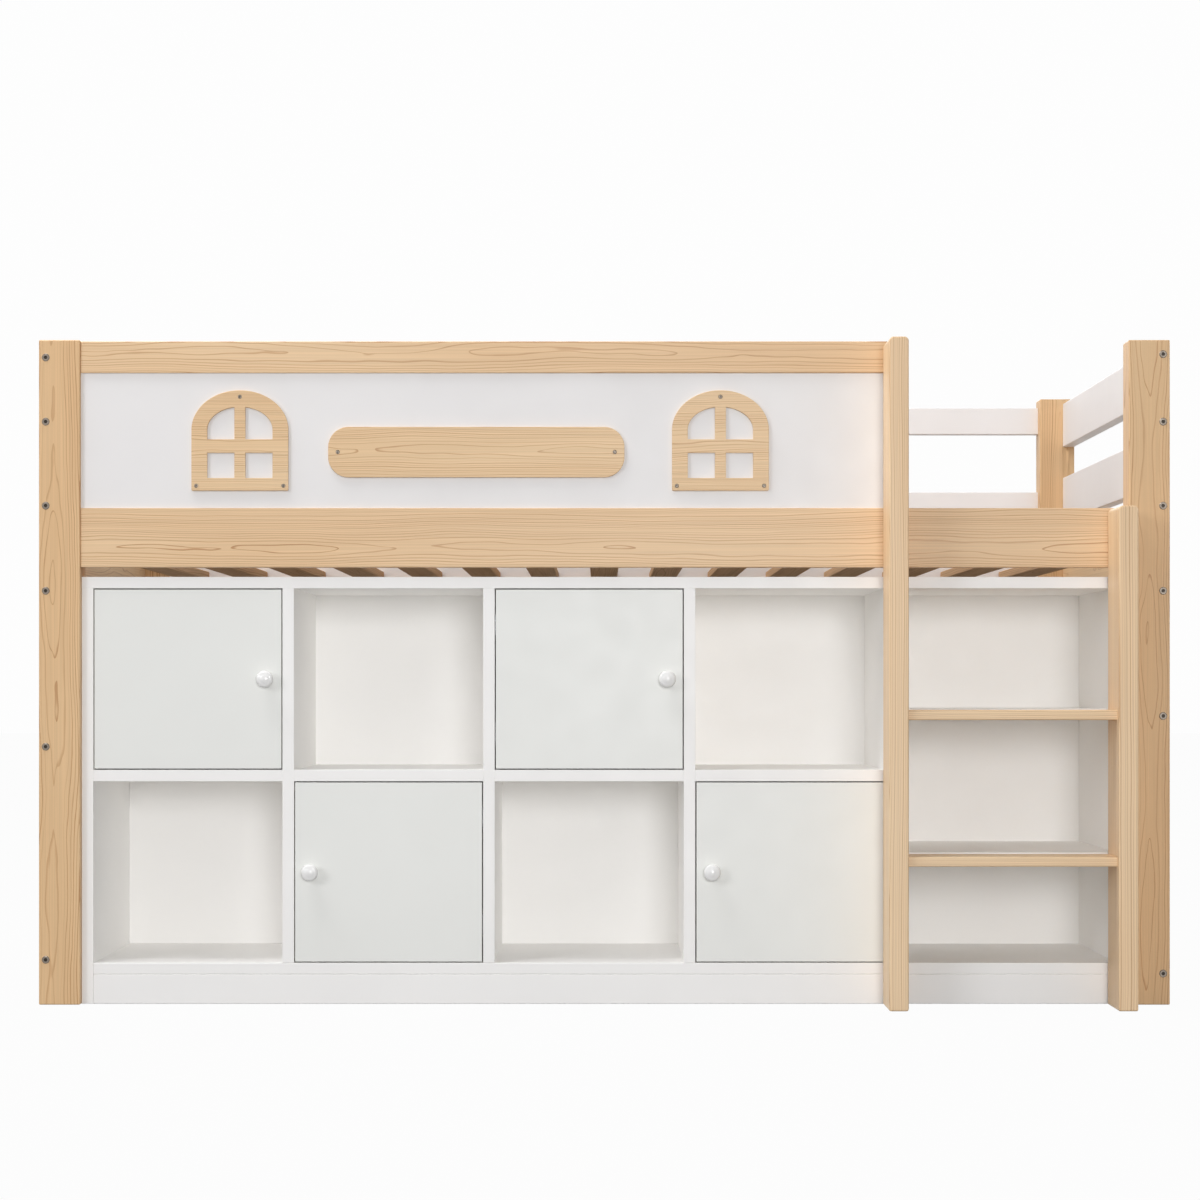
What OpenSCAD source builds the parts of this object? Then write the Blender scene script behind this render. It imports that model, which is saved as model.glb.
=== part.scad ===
// Cabin bed: a mid-height single bed of pine and white lacquered board, with a cube
// cabinet under the slats, four cupboard doors and a fixed vertical ladder.
// Millimetres. The origin is on the floor under the middle of the overall box.
// +X runs along the bed to the ladder end, -Y is the front, +Z is up.
// Depths named d are measured back from the front face of the front posts.

/* [Bed] */
// Length over the outer faces of the posts
bed_length = 2060; // [1760:1:2480]
// Depth over the front and back faces of the posts
bed_depth = 980; // [820:1:1180]
// Height of the posts above the bed rails
guard_h = 306; // [250:1:400]
// Width of a post along the bed
post_w = 75; // [65:1:95]
// Thickness of a post across the bed
post_t = 50; // [46:1:64]

/* [Long rails] */
// Thickness of every long rail
rail_t = 22; // [19:0.5:28]
// Step from a post's outer face in to the long rails
rail_setback = 4; // [2:0.5:8]
// Height of the front top rail
top_rail_h = 57.5; // [48:0.5:70]
// Step from the post top down to the front top rail
top_rail_drop = 2; // [1:0.5:10]
// Height of the front and back bed rails
bed_rail_h = 108; // [100:1:130]
// Height of the underside of the bed rails above the floor
bed_rail_z = 797; // [640:1:840]
// Height of the two back guard rails
back_rail_h = 58; // [48:0.5:72]
// Step from the post top down to the upper back guard rail
back_rail_drop = 17; // [5:1:30]
// Gap between the back bed rail and the lower back guard rail
back_rail_gap = 46; // [30:1:60]
// Thickness of the white front panel
panel_t = 12; // [9:0.5:14]
// Step from the rails' front face in to the panel
panel_recess = 5; // [4:0.5:7]
// Depth of the grooves that hold the panel
groove_depth = 10; // [6:0.5:14]

/* [End frames] */
// Thickness of an end frame along the bed
end_t = 25; // [22:0.5:32]
// Width of an end frame's stile, let into the rebate of the post
end_stile_w = 27; // [24:0.5:32]
// Height of the white end rails
end_rail_h = 95; // [80:1:110]
// Step from the post top down to the upper end guard rail
end_guard_drop = 10; // [5:1:30]
// Gap between the end bed rail and the lower end guard rail
end_guard_lift = 45; // [30:1:60]
// Step from the underside of the bed rails down to that of the end bed rail
end_bed_rail_step = 6; // [0:1:15]
// Height of the underside of the middle end rail
end_mid_rail_z = 450; // [300:1:480]
// Height of the underside of the end rail near the floor
end_foot_rail_z = 40; // [20:1:80]
// Length of the tenons on the end rails
tenon_l = 11; // [8:0.5:11]
// Thickness of the tenons
tenon_t = 9; // [7:0.5:11]
// Step from a rail's edge in to its tenon
tenon_shoulder = 12; // [8:1:20]

/* [Slats] */
// Number of slats
slat_count = 15; // [11:1:18]
// Width of a slat
slat_w = 57; // [45:1:68]
// Thickness of a slat
slat_t = 18; // [15:0.5:22]
// Gap between a post's inner line and the first slat
slat_end_gap = 30.5; // [20:0.5:50]
// Gap between a slat's end and the bed rail
slat_play = 1; // [0.5:0.5:3]
// Width of the ledges that carry the slats
ledge_w = 20; // [18:1:30]
// Height of the ledges
ledge_h = 18; // [15:0.5:24]
// Step from the underside of the bed rail up to the ledge
ledge_lift = 1; // [0:0.5:10]

/* [Ladder] */
// Clear width between the ladder's stiles
ladder_clear = 374.5; // [320:0.5:376]
// Thickness of a ladder stile
ladder_stile_t = 35; // [28:0.5:38]
// Depth of a ladder stile, front to back
ladder_depth = 100; // [85:1:120]
// Gap from the right stile to the inner face line of the right post
ladder_post_gap = 2.5; // [1:0.5:8]
// Step from the top rail down to the top of the left stile
left_stile_drop = 5; // [0:0.5:12]
// Step from the bed rail down to the top of the right stile
right_stile_drop = 2.5; // [0:0.5:10]
// Radius of the stiles' rounded top corners
stile_corner_r = 8; // [3:0.5:14]
// Height of the lower rung's top
first_rung_z = 275; // [220:1:330]
// Rise from one rung to the next
rung_rise = 262.5; // [220:0.5:290]
// Thickness of a rung
rung_t = 18; // [16:0.5:22]
// Step from the stiles' front edge back to the rungs
rung_front_step = 14; // [5:1:25]
// Step from the stiles' back edge in to the rungs
rung_back_step = 4; // [0:1:15]
// Depth of the housings that the rungs are glued into
rung_housing = 10; // [6:0.5:14]

/* [Cabinet] */
// Thickness of the cabinet's boards
board_t = 21; // [17:0.5:26]
// Depth of the cabinet, front to back
cab_depth = 358; // [290:1:430]
// Thickness of the cabinet's back panel
back_t = 6; // [3:0.5:9]
// Gap between the cabinet and a post
cab_gap = 0.3; // [0.3:0.1:5]
// Step from the posts' front face back to the cabinet
cab_setback = 14; // [8:0.5:18]
// Gap between the cabinet's top and the bed rail
cab_headroom = 17; // [8:1:40]
// Height of the plinth
plinth_h = 54; // [40:1:66]
// How far the ladder's left stile covers the edge of the open bay behind it
bay_lap = 10.3; // [0:0.1:13]
// Step from a rung's top up to the bay shelf behind it
bay_shelf_step = 1.5; // [0:0.5:6]

/* [Doors] */
// Thickness of a door
door_t = 18; // [16:0.5:22]
// Gap above, below and beside the free edge of each door
door_gap = 2.2; // [1.5:0.1:3.5]
// Least clearance of a door's swinging corners
swing_clear = 0.56; // [0.4:0.01:1.5]
// Height from a door's edge to the middle of its nearer hinge
hinge_inset = 65; // [45:1:90]
// Step from a door's hinge edge to the hinge pin
pivot_in = 24; // [20:0.5:29]
// Diameter of a hinge cup
cup_d = 35; // [30:0.5:42]
// Depth of a hinge cup
cup_depth = 13; // [11:0.1:15]
// Step from a door's hinge edge to its hinge cups
cup_edge = 5; // [4:0.5:6]
// Diameter of a hinge pin
pin_d = 3; // [2.5:0.1:3.2]
// Running clearance round a hinge pin
pin_play = 0.08; // [0.04:0.01:0.1]
// Diameter of a door knob
knob_d = 31; // [26:0.5:38]
// Height of a door knob
knob_h = 26; // [22:0.5:32]
// Step from a door's free edge to the middle of its knob
knob_inset = 28; // [22:1:45]

/* [Front trim] */
// Thickness of the plywood trim
trim_t = 6; // [4:0.5:9]
// Width of a trim window
window_w = 176.5; // [150:0.5:190]
// Height of a trim window
window_h = 183; // [160:1:190]
// Height of the arch on a trim window
arch_h = 72; // [60:1:80]
// Width of a trim window's side frames
frame_w = 28.7; // [24:0.1:32]
// Width of a trim window's upright bar
bar_w = 20; // [14:0.5:26]
// Height of a trim window's cross bar
cross_h = 24.5; // [16:0.5:28]
// Height of a trim window's sill
sill_h = 23; // [18:0.5:30]
// Height of the straight part of an upper pane
upper_pane_h = 17.5; // [10:0.5:25]
// Width of the arch's rim over the panes
arch_rim = 30.5; // [24:0.5:36]
// Step from the left post to the middle of the left window
window_left_in = 290.5; // [200:0.5:330]
// Step from the ladder's left stile to the middle of the right window
window_right_in = 296.5; // [200:0.5:330]
// Gap between the left window and the name plate
plate_gap_left = 72.75; // [30:0.25:120]
// Gap between the name plate and the right window
plate_gap_right = 86.75; // [30:0.25:120]
// Height of the name plate
plate_h = 92; // [70:1:110]
// Corner radius of the name plate
plate_r = 37; // [10:1:40]
// Step from the panel's middle down to the middle of the name plate
plate_drop = 21.25; // [0:0.25:40]

/* [Fasteners] */
// Diameter of the frame bolts
bolt_d = 6; // [5:0.5:8]
// Diameter of the frame bolts' heads
bolt_head_d = 14; // [12:0.5:16]
// Thickness of the frame bolts' heads
bolt_head_t = 3; // [2.5:0.5:4]
// How far the heads in the posts stand proud
bolt_proud = 1; // [0.5:0.1:1.5]
// Width of the bolts' hexagon sockets
socket_w = 5.8; // [4.5:0.1:7]
// Step from the post top to the uppermost bolt of a left post
top_bolt_left = 32; // [20:1:45]
// Step from the post top to the uppermost bolt of a right post
top_bolt_right = 26; // [20:1:45]
// Step from the post top to the second bolt
second_bolt_drop = 149; // [120:1:160]
// Step from the top of the bed rail up to a post bolt
bed_bolt_over = 4; // [0:1:20]
// Step from the underside of the bed rail down to a post bolt
bed_bolt_under = 43; // [30:1:60]
// Height of the fifth bolt of a left post
low_bolt_left = 470; // [350:1:560]
// Height of the fifth bolt of a right post
low_bolt_right = 526; // [350:1:560]
// Height of the lowest bolt of a left post
foot_bolt_left = 82; // [50:1:110]
// Height of the lowest bolt of a right post
foot_bolt_right = 57; // [50:1:110]
// Length of the rail bolts inside the rail
rail_bolt_in = 44; // [38:1:60]
// Step from the rail's end in to a barrel nut
barrel_in = 30; // [24:1:34]
// Step from the edges of a bed rail in to its rail bolts
bed_bolt_in = 20; // [18:1:30]
// Diameter of the barrel nuts
barrel_d = 10; // [9:0.5:12]
// Length of the barrel nuts
barrel_l = 14; // [12:0.5:18]
// Shank diameter of the wood screws
screw_d = 3.5; // [3:0.1:4]
// Head diameter of the wood screws
screw_head_d = 7; // [6:0.5:8]
// Length of the slat screws
slat_screw_l = 30; // [24:1:34]
// Diameter of the cabinet's dowels
dowel_d = 8; // [6:0.5:10]
// Length of the cabinet's dowels
dowel_l = 30; // [26:1:34]

/* [Hidden] */
$fn = 48;
eps = 0.5;             // how far a cutter runs past a face
fit = 0.2;             // a hole is this much wider than what goes in it
thread_play = 0.1;     // a nut's bore is this much wider than its bolt

// Depth line of the whole: ladder stiles in front, bolt heads behind
ladder_out = ladder_depth - rail_setback;
overall_d = ladder_out + bed_depth + bolt_proud;
front_y = ladder_out - overall_d / 2;
mid_y = front_y + bed_depth / 2;
outer_x = bed_length / 2;
inner_x = outer_x - post_w;
rail_d = [rail_setback, rail_setback + rail_t];
back_rail_d = [bed_depth - rail_d[1], bed_depth - rail_d[0]];

// Heights of the posts and the long rails
bed_rail_top = bed_rail_z + bed_rail_h;
post_h = bed_rail_top + guard_h;
top_rail_z = post_h - top_rail_drop - top_rail_h;
back_top_z = post_h - back_rail_drop - back_rail_h;
back_middle_z = bed_rail_top + back_rail_gap;
panel_d = rail_setback + panel_recess;

// End frames, from the floor up
end_foot_z = [end_foot_rail_z, end_foot_rail_z + end_rail_h];
end_mid_z = [end_mid_rail_z, end_mid_rail_z + end_rail_h];
end_bed_z = [bed_rail_z - end_bed_rail_step, bed_rail_z - end_bed_rail_step + bed_rail_h];
end_upper_z = [post_h - end_guard_drop - end_rail_h, post_h - end_guard_drop];
end_middle_z = [end_bed_z[1] + end_guard_lift, end_bed_z[1] + end_guard_lift + end_rail_h];
end_x = [outer_x - end_t, outer_x];
end_rail_levels = [end_foot_z, end_mid_z, end_bed_z, end_middle_z, end_upper_z];

// Post bolts: through the cheek of the post into the end frame's stile
post_cheek = post_t - end_stile_w;
post_bolt_l = post_t - tenon_l - bolt_head_t;
post_bolt_x = outer_x - end_t / 2;
function post_bolt_zs(side) = [
    side < 0 ? foot_bolt_left : foot_bolt_right,
    side < 0 ? low_bolt_left : low_bolt_right,
    bed_rail_z - bed_bolt_under,
    bed_rail_top + bed_bolt_over,
    post_h - second_bolt_drop,
    post_h - (side < 0 ? top_bolt_left : top_bolt_right)];

// Rail bolts: through the post from its outer face, into a barrel nut in the rail
rail_bolt_d = rail_setback + rail_t / 2;
bolt_spacing = 10;     // from the uppermost post bolt up to the top rail's bolt
bed_bolt_zs = [bed_rail_z + bed_bolt_in, bed_rail_top - bed_bolt_in];
top_bolt_zs = [post_h - top_bolt_left + bolt_spacing];
back_top_zs = [back_top_z + back_rail_h / 3];
back_middle_zs = [back_middle_z + back_rail_h / 2];
function rail_bolt_zs(side, back) = concat(
    bed_bolt_zs,
    back > 0 ? concat(back_top_zs, back_middle_zs) : [],
    back == 0 && side < 0 ? top_bolt_zs : []);

// Slats and the ledges under them
slat_pitch = (2 * inner_x - 2 * slat_end_gap - slat_w) / (slat_count - 1);
function slat_x(i) = (i - (slat_count - 1) / 2) * slat_pitch;
ledge_z = bed_rail_z + ledge_lift;
slat_z = ledge_z + ledge_h;
ledge_screw_l = ledge_w + rail_t * 2 / 3;

// Ladder
ladder_d = [-ladder_out, rail_setback];
right_stile_x = inner_x - ladder_post_gap - ladder_stile_t;
left_stile_x = right_stile_x - ladder_clear - ladder_stile_t;
left_stile_top = post_h - top_rail_drop - left_stile_drop;
right_stile_top = bed_rail_top - right_stile_drop;
top_rail_end = left_stile_x + ladder_stile_t;
rung_tops = [first_rung_z, first_rung_z + rung_rise];
ladder_bolt_in = 45;   // how far the ladder's bolts reach into its stiles
ladder_bolt_l = rail_t + ladder_bolt_in;
ladder_bolt_step = 24; // between the two bolts of a stile
ladder_bed_zs = [for (s = [-1, 1]) bed_rail_z + bed_rail_h / 2 + s * ladder_bolt_step / 2];
ladder_top_z = top_rail_z + top_rail_h / 2;

// Cabinet
cab_h = bed_rail_z - cab_headroom;
cab_x = [-inner_x + cab_gap, inner_x - cab_gap];
cab_in_x = [cab_x[0] + board_t, cab_x[1] - board_t];
cab_d = [cab_setback, cab_setback + cab_depth];
cab_in_d = [cab_setback, cab_setback + cab_depth - back_t];
bay_x = [top_rail_end - bay_lap, cab_in_x[1]];
cell_w = (bay_x[0] - cab_in_x[0]) / 4 - board_t;
bottom_top_z = plinth_h + board_t;
top_board_z = cab_h - board_t;
cell_h = (top_board_z - bottom_top_z - board_t) / 2;
mid_shelf_z = bottom_top_z + cell_h;
function cell_x(c) = cab_in_x[0] + c * (cell_w + board_t);
function divider_x(c) = cell_x(c) + cell_w;
bay_shelf_zs = [for (z = rung_tops) z + bay_shelf_step - board_t];
dowel_edge = 50;       // from a board's edge in to a dowel
dowel_ds = [cab_in_d[0] + dowel_edge, cab_in_d[1] - dowel_edge];
dowel_deep = board_t / 2 + 1;
dowel_shallow = board_t / 2 - 2;

// Doors: column, row and hinge side of each
doors = [[0, 1, -1], [1, 0, 1], [2, 1, -1], [3, 0, 1]];
cup_wall = 1;
cup_floor = 0.8;
cup_flange = [22, 1.2, 52];
pin_r = pin_d / 2;
eye_r = pin_r + 1.3;
eye_play = 0.4;        // from the arm's eye to the cup's floor
pivot_back = cup_depth - cup_floor - eye_r - eye_play;
swing_r = sqrt(pow(pivot_in, 2) + pow(max(pivot_back, door_t - pivot_back), 2));
hinge_gap = ceil((swing_r - pivot_in + swing_clear) * 10) / 10;
door_w = cell_w - door_gap - hinge_gap;
door_h = cell_h - 2 * door_gap;
pivot_d = cab_setback + door_t - pivot_back;
function door_z(i) = bottom_top_z + doors[i][1] * (cell_h + board_t) + door_gap;
// A door's hinge edge, and the direction from it to the free edge
function hinge_x(i) = cell_x(doors[i][0]) + (doors[i][2] < 0 ? hinge_gap : cell_w - hinge_gap);
function away(i) = -doors[i][2];
function hinge_zs(i) = [door_z(i) + hinge_inset, door_z(i) + door_h - hinge_inset];
function knob_x(i) = hinge_x(i) + away(i) * (door_w - knob_inset);
function knob_z(i) = door_z(i) + door_h / 2;
arm_t = 3;
arm_h = 12;
arm_back = swing_r + arm_t / 2 + 0.5;
hinge_plate_l = 34;
hinge_plate_h = 40;
knob_screw_d = 4;
knob_screw_in = 12;
knob_screw_head = [9, 2.5];

// Front trim
window_xs = [-inner_x + window_left_in, left_stile_x - window_right_in];
panel_mid_z = (bed_rail_top + top_rail_z) / 2;
window_z = panel_mid_z - window_h / 2;
plate_xs = [window_xs[0] + window_w / 2 + plate_gap_left,
            window_xs[1] - window_w / 2 - plate_gap_right];
plate_x = (plate_xs[0] + plate_xs[1]) / 2;
plate_w = plate_xs[1] - plate_xs[0];
plate_z = panel_mid_z - plate_drop;
trim_d = panel_d - trim_t;
trim_screw_l = trim_t + panel_t * 3 / 4;
screw_corner = 8.7;    // from a window's lower corner in to its screw, both ways
screw_drop = 12;       // from the arch's top down to its screw
window_screws = [[-window_w / 2 + screw_corner, screw_corner],
                 [window_w / 2 - screw_corner, screw_corner],
                 [0, window_h - screw_drop]];
plate_screw_in = 17.5;

single_nodes = [
    "post_front_left", "post_front_right", "post_back_left", "post_back_right",
    "end_stiles_left", "end_stiles_right",
    "end_guard_rails_left", "end_guard_rails_right",
    "end_bed_rail_left", "end_bed_rail_right",
    "end_lower_rails_left", "end_lower_rails_right",
    "front_top_rail", "front_panel", "front_bed_rail",
    "back_top_rail", "back_middle_rail", "back_bed_rail",
    "ledge_front", "ledge_back", "slats",
    "ladder_stile_left", "ladder_stile_right", "ladder_rungs",
    "cabinet_top", "cabinet_bottom", "cabinet_side_left", "cabinet_side_right",
    "cabinet_middle_shelves", "ladder_bay_shelves", "cabinet_plinths", "cabinet_back",
    "window_left", "window_right", "name_plate", "hinge_arms",
    "post_bolts", "rail_bolts", "barrel_nuts", "ladder_bolts",
    "trim_screws", "slat_screws", "cabinet_dowels"];
function numbered(name) = [for (i = [1:4]) str(name, i)];

pine = [0.87, 0.73, 0.55];
white = [0.93, 0.93, 0.91];
door_white = [0.89, 0.9, 0.88];
steel = [0.62, 0.62, 0.64];
beech = [0.82, 0.66, 0.47];

// ---- Helpers ----

// A board between two X, two depths and two heights
module board(x, d, z)
    translate([x[0], front_y + d[0], z[0]])
        cube([x[1] - x[0], d[1] - d[0], z[1] - z[0]]);

// Children at a depth, turned so that their +Z points back
module facing_back(x, d, z)
    translate([x, front_y + d, z]) rotate([-90, 0, 0]) children();

// Children turned so that their +Z points to +X
module facing_right(x, d, z)
    translate([x, front_y + d, z]) rotate([0, 90, 0]) children();

// Copies what is drawn at the front right corner to another corner
module corner(side, back)
    translate([0, back > 0 ? 2 * mid_y : 0, 0])
        mirror([0, back > 0 ? 1 : 0, 0])
            mirror([side < 0 ? 1 : 0, 0, 0]) children();

// A hex-socket bolt along +Z, with the seat of its head at the origin
module bolt(l)
    difference() {
        union() {
            translate([0, 0, -bolt_head_t]) cylinder(d = bolt_head_d, h = bolt_head_t);
            cylinder(d = bolt_d, h = l);
        }
        translate([0, 0, -bolt_head_t - eps])
            cylinder(d = socket_w, h = bolt_head_t * 2 / 3 + eps, $fn = 6);
    }

// The hole for such a bolt, with a seat sunk by the buried part of its head
module bolt_hole(l, sunk)
    union() {
        translate([0, 0, -sunk - eps])
            cylinder(d = bolt_head_d + fit, h = sunk + eps);
        cylinder(d = bolt_d + fit, h = l);
    }

screw_head_t = 2;
screw_slot = [3.6, 0.8, 1.2];

// A countersunk wood screw along +Z, flush at the origin
module screw(l)
    difference() {
        union() {
            cylinder(d1 = screw_head_d, d2 = screw_d, h = screw_head_t);
            cylinder(d = screw_d, h = l);
        }
        for (a = [0, 90])
            rotate(a) translate([-screw_slot[0] / 2, -screw_slot[1] / 2, -eps])
                cube(screw_slot + [0, 0, eps]);
    }

// The hole for such a screw
module screw_hole(l)
    union() {
        cylinder(d1 = screw_head_d + fit, d2 = screw_d + fit, h = screw_head_t);
        translate([0, 0, -eps]) cylinder(d = screw_head_d + fit, h = eps + 0.01);
        cylinder(d = screw_d + fit, h = l);
    }

// ---- Posts and what bolts to them ----

sunk_head = bolt_head_t - bolt_proud;

module post_bolt_holes(side)
    for (z = post_bolt_zs(side))
        facing_back(post_bolt_x, sunk_head, z) bolt_hole(post_bolt_l, sunk_head);

module rail_bolt_holes(zs)
    for (z = zs) {
        facing_right(inner_x - rail_bolt_in - 2, rail_bolt_d, z)
            cylinder(d = bolt_d + fit, h = post_w + rail_bolt_in + 2);
        facing_right(outer_x - sunk_head, rail_bolt_d, z)
            cylinder(d = bolt_head_d + fit, h = sunk_head + eps);
    }

// The holes for the barrel nuts, open on the side that the photo doesn't show: the
// front rails' back face, and the back rails' back face, which is their outer one
module barrel_holes(zs, outward)
    for (z = zs)
        facing_back(inner_x - barrel_in,
                    outward ? rail_setback - eps : rail_bolt_d - barrel_l / 2 - fit, z)
            cylinder(d = barrel_d + fit, h = rail_t / 2 + barrel_l / 2 + fit + eps);

// A post is rebated at its outer corner for the end frame's stile
module post(side, back)
    color(pine)
    difference() {
        corner(side, back) difference() {
            board([inner_x, outer_x], [0, post_t], [0, post_h]);
            board([end_x[0], outer_x + eps], [post_cheek, post_t + eps], [-eps, post_h + eps]);
            post_bolt_holes(side);
            rail_bolt_holes(rail_bolt_zs(side, back));
        }
        if (back == 0 && side < 0) panel_tongue(fit);
    }

module post_bolts()
    color(steel)
    for (side = [-1, 1], back = [0, 1])
        corner(side, back)
            for (z = post_bolt_zs(side))
                facing_back(post_bolt_x, sunk_head, z) bolt(post_bolt_l - 1);

module rail_bolts()
    color(steel)
    for (side = [-1, 1], back = [0, 1])
        corner(side, back)
            for (z = rail_bolt_zs(side, back))
                facing_right(outer_x - sunk_head, rail_bolt_d, z)
                    mirror([0, 0, 1]) bolt(post_w + rail_bolt_in - sunk_head);

module barrel_nuts()
    color(steel)
    for (side = [-1, 1], back = [0, 1])
        corner(side, back)
            for (z = rail_bolt_zs(side, back))
                difference() {
                    facing_back(inner_x - barrel_in, rail_bolt_d - barrel_l / 2, z)
                        cylinder(d = barrel_d, h = barrel_l);
                    facing_right(inner_x - barrel_in - barrel_d, rail_bolt_d, z)
                        cylinder(d = bolt_d + thread_play, h = 2 * barrel_d);
                }

// ---- End frames ----

module tenon(z, d)
    board([end_x[0] + (end_t - tenon_t) / 2, end_x[1] - (end_t - tenon_t) / 2], d,
          [z[0] + tenon_shoulder, z[1] - tenon_shoulder]);

module end_stile(side, back)
    corner(side, back) difference() {
        board(end_x, [post_cheek, post_t], [0, post_h]);
        post_bolt_holes(side);
        rail_bolt_holes(rail_bolt_zs(side, back));
        for (z = end_rail_levels) tenon(z, [post_t - tenon_l, post_t + eps]);
    }

module end_stiles(side)
    color(pine) {
        end_stile(side, 0);
        end_stile(side, 1);
    }

module end_rail(side, z)
    corner(side, 0) {
        board(end_x, [post_t, bed_depth - post_t], z);
        tenon(z, [post_t - tenon_l, bed_depth - post_t + tenon_l]);
    }

module end_guard_rails(side)
    color(white) {
        end_rail(side, end_middle_z);
        end_rail(side, end_upper_z);
    }

module end_bed_rail(side)
    color(pine) end_rail(side, end_bed_z);

module end_lower_rails(side)
    color(white) {
        end_rail(side, end_foot_z);
        end_rail(side, end_mid_z);
    }

// ---- Front and back rails ----

// The panel, with its tongues in the rails and in the left post
module panel_tongue(play)
    board([-inner_x - groove_depth - play, top_rail_end + play],
          [panel_d - play / 2, panel_d + panel_t + play / 2],
          [bed_rail_top - groove_depth - play, top_rail_z + groove_depth + play]);

module rail_joint(side, back, zs)
    corner(side, back) {
        rail_bolt_holes(zs);
        barrel_holes(zs, back > 0);
    }

module ladder_bolt_holes(x, zs)
    for (z = zs)
        facing_back(x + ladder_stile_t / 2, rail_d[1] - bolt_head_t, z)
            mirror([0, 0, 1]) bolt_hole(ladder_bolt_l - bolt_head_t + 1, bolt_head_t);

module front_top_rail()
    color(pine)
    difference() {
        board([-inner_x, top_rail_end], rail_d, [top_rail_z, top_rail_z + top_rail_h]);
        panel_tongue(fit);
        rail_joint(-1, 0, top_bolt_zs);
        ladder_bolt_holes(left_stile_x, [ladder_top_z]);
    }

module front_panel()
    color(white)
    difference() {
        panel_tongue(0);
        trim_screw_holes();
    }

module front_bed_rail()
    color(pine)
    difference() {
        board([-inner_x, inner_x], rail_d, [bed_rail_z, bed_rail_top]);
        panel_tongue(fit);
        rail_joint(-1, 0, bed_bolt_zs);
        rail_joint(1, 0, bed_bolt_zs);
        ladder_bolt_holes(left_stile_x, ladder_bed_zs);
        ladder_bolt_holes(right_stile_x, ladder_bed_zs);
        ledge_screw_holes(0);
    }

module back_rail(z, zs)
    color(white)
    difference() {
        board([-inner_x, inner_x], back_rail_d, z);
        rail_joint(-1, 1, zs);
        rail_joint(1, 1, zs);
        ledge_screw_holes(1);
    }

// ---- Slats ----

module slat_screw_places()
    for (i = [0:slat_count - 1], back = [0, 1])
        corner(1, back)
            translate([slat_x(i), front_y + rail_d[1] + ledge_w / 2, slat_z + slat_t])
                mirror([0, 0, 1]) children();

// Ledge screws stand in every second gap between the slats
module ledge_screw_places(back)
    for (i = [0:2:slat_count - 2])
        corner(1, back)
            facing_back(slat_x(i) + slat_pitch / 2, rail_d[1] + ledge_w, ledge_z + ledge_h / 2)
                mirror([0, 0, 1]) children();

module ledge_screw_holes(back)
    ledge_screw_places(back) screw_hole(ledge_screw_l + 1);

module ledge(back)
    color(pine)
    difference() {
        corner(1, back)
            board([-inner_x, inner_x], [rail_d[1], rail_d[1] + ledge_w],
                  [ledge_z, ledge_z + ledge_h]);
        slat_screw_places() screw_hole(slat_screw_l + 1);
        ledge_screw_holes(back);
    }

module slats()
    color(pine)
    difference() {
        for (i = [0:slat_count - 1])
            board([slat_x(i) - slat_w / 2, slat_x(i) + slat_w / 2],
                  [rail_d[1] + slat_play, back_rail_d[0] - slat_play],
                  [slat_z, slat_z + slat_t]);
        slat_screw_places() screw_hole(slat_screw_l);
    }

module slat_screws()
    color(steel) {
        slat_screw_places() screw(slat_screw_l);
        for (back = [0, 1]) ledge_screw_places(back) screw(ledge_screw_l);
    }

// ---- Ladder ----

module rung(i, in)
    board([top_rail_end - in, right_stile_x + in],
          [ladder_d[0] + rung_front_step, ladder_d[1] - rung_back_step],
          [rung_tops[i] - rung_t, rung_tops[i]]);

module ladder_stile(x, top, bolt_zs)
    color(pine)
    difference() {
        translate([x, front_y + ladder_d[1], 0]) rotate([90, 0, 0])
            linear_extrude(ladder_depth)
            union() {
                square([ladder_stile_t, top - stile_corner_r]);
                translate([stile_corner_r, 0])
                    square([ladder_stile_t - 2 * stile_corner_r, top]);
                for (u = [stile_corner_r, ladder_stile_t - stile_corner_r])
                    translate([u, top - stile_corner_r]) circle(stile_corner_r);
            }
        for (i = [0, 1]) rung(i, rung_housing);
        ladder_bolt_holes(x, bolt_zs);
    }

module ladder_rungs()
    color(pine) for (i = [0, 1]) rung(i, rung_housing);

module ladder_bolts()
    color(steel) {
        for (x = [left_stile_x, right_stile_x], z = ladder_bed_zs) ladder_bolt(x, z);
        ladder_bolt(left_stile_x, ladder_top_z);
    }

module ladder_bolt(x, z)
    facing_back(x + ladder_stile_t / 2, rail_d[1] - bolt_head_t, z)
        mirror([0, 0, 1]) bolt(ladder_bolt_l - bolt_head_t);

// ---- Cabinet ----

module dowel(axis_x, p, into, play)
    for (d = dowel_ds)
        if (axis_x)
            facing_right(p[0] - into, d, p[1])
                translate([0, 0, -play]) cylinder(d = dowel_d + play, h = dowel_l + 2 * play);
        else
            translate([p[0], front_y + d, p[1] - into - play])
                cylinder(d = dowel_d + play, h = dowel_l + 2 * play);

// Upright dowels between the top board and what stands under it
module top_dowels(play)
    for (x = [cab_x[0], for (c = [0:3]) divider_x(c), cab_in_x[1]])
        dowel(false, [x + board_t / 2, top_board_z], dowel_l - dowel_deep, play);

module bottom_dowels(play)
    for (c = [0:3])
        dowel(false, [divider_x(c) + board_t / 2, bottom_top_z], dowel_deep, play);

// Level dowels: from a side or divider on the left, and on the right, of a shelf
module shelf_dowels(x, z, play) {
    dowel(true, [x[0], z], dowel_shallow, play);
    dowel(true, [x[1], z], dowel_l - dowel_shallow, play);
}

module base_dowels(play)
    shelf_dowels(cab_in_x, plinth_h + board_t / 2, play);

module middle_dowels(play)
    for (c = [0:3])
        shelf_dowels([cell_x(c), divider_x(c)], mid_shelf_z + board_t / 2, play);

module bay_dowels(play)
    for (z = bay_shelf_zs) shelf_dowels(bay_x, z + board_t / 2, play);

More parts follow.
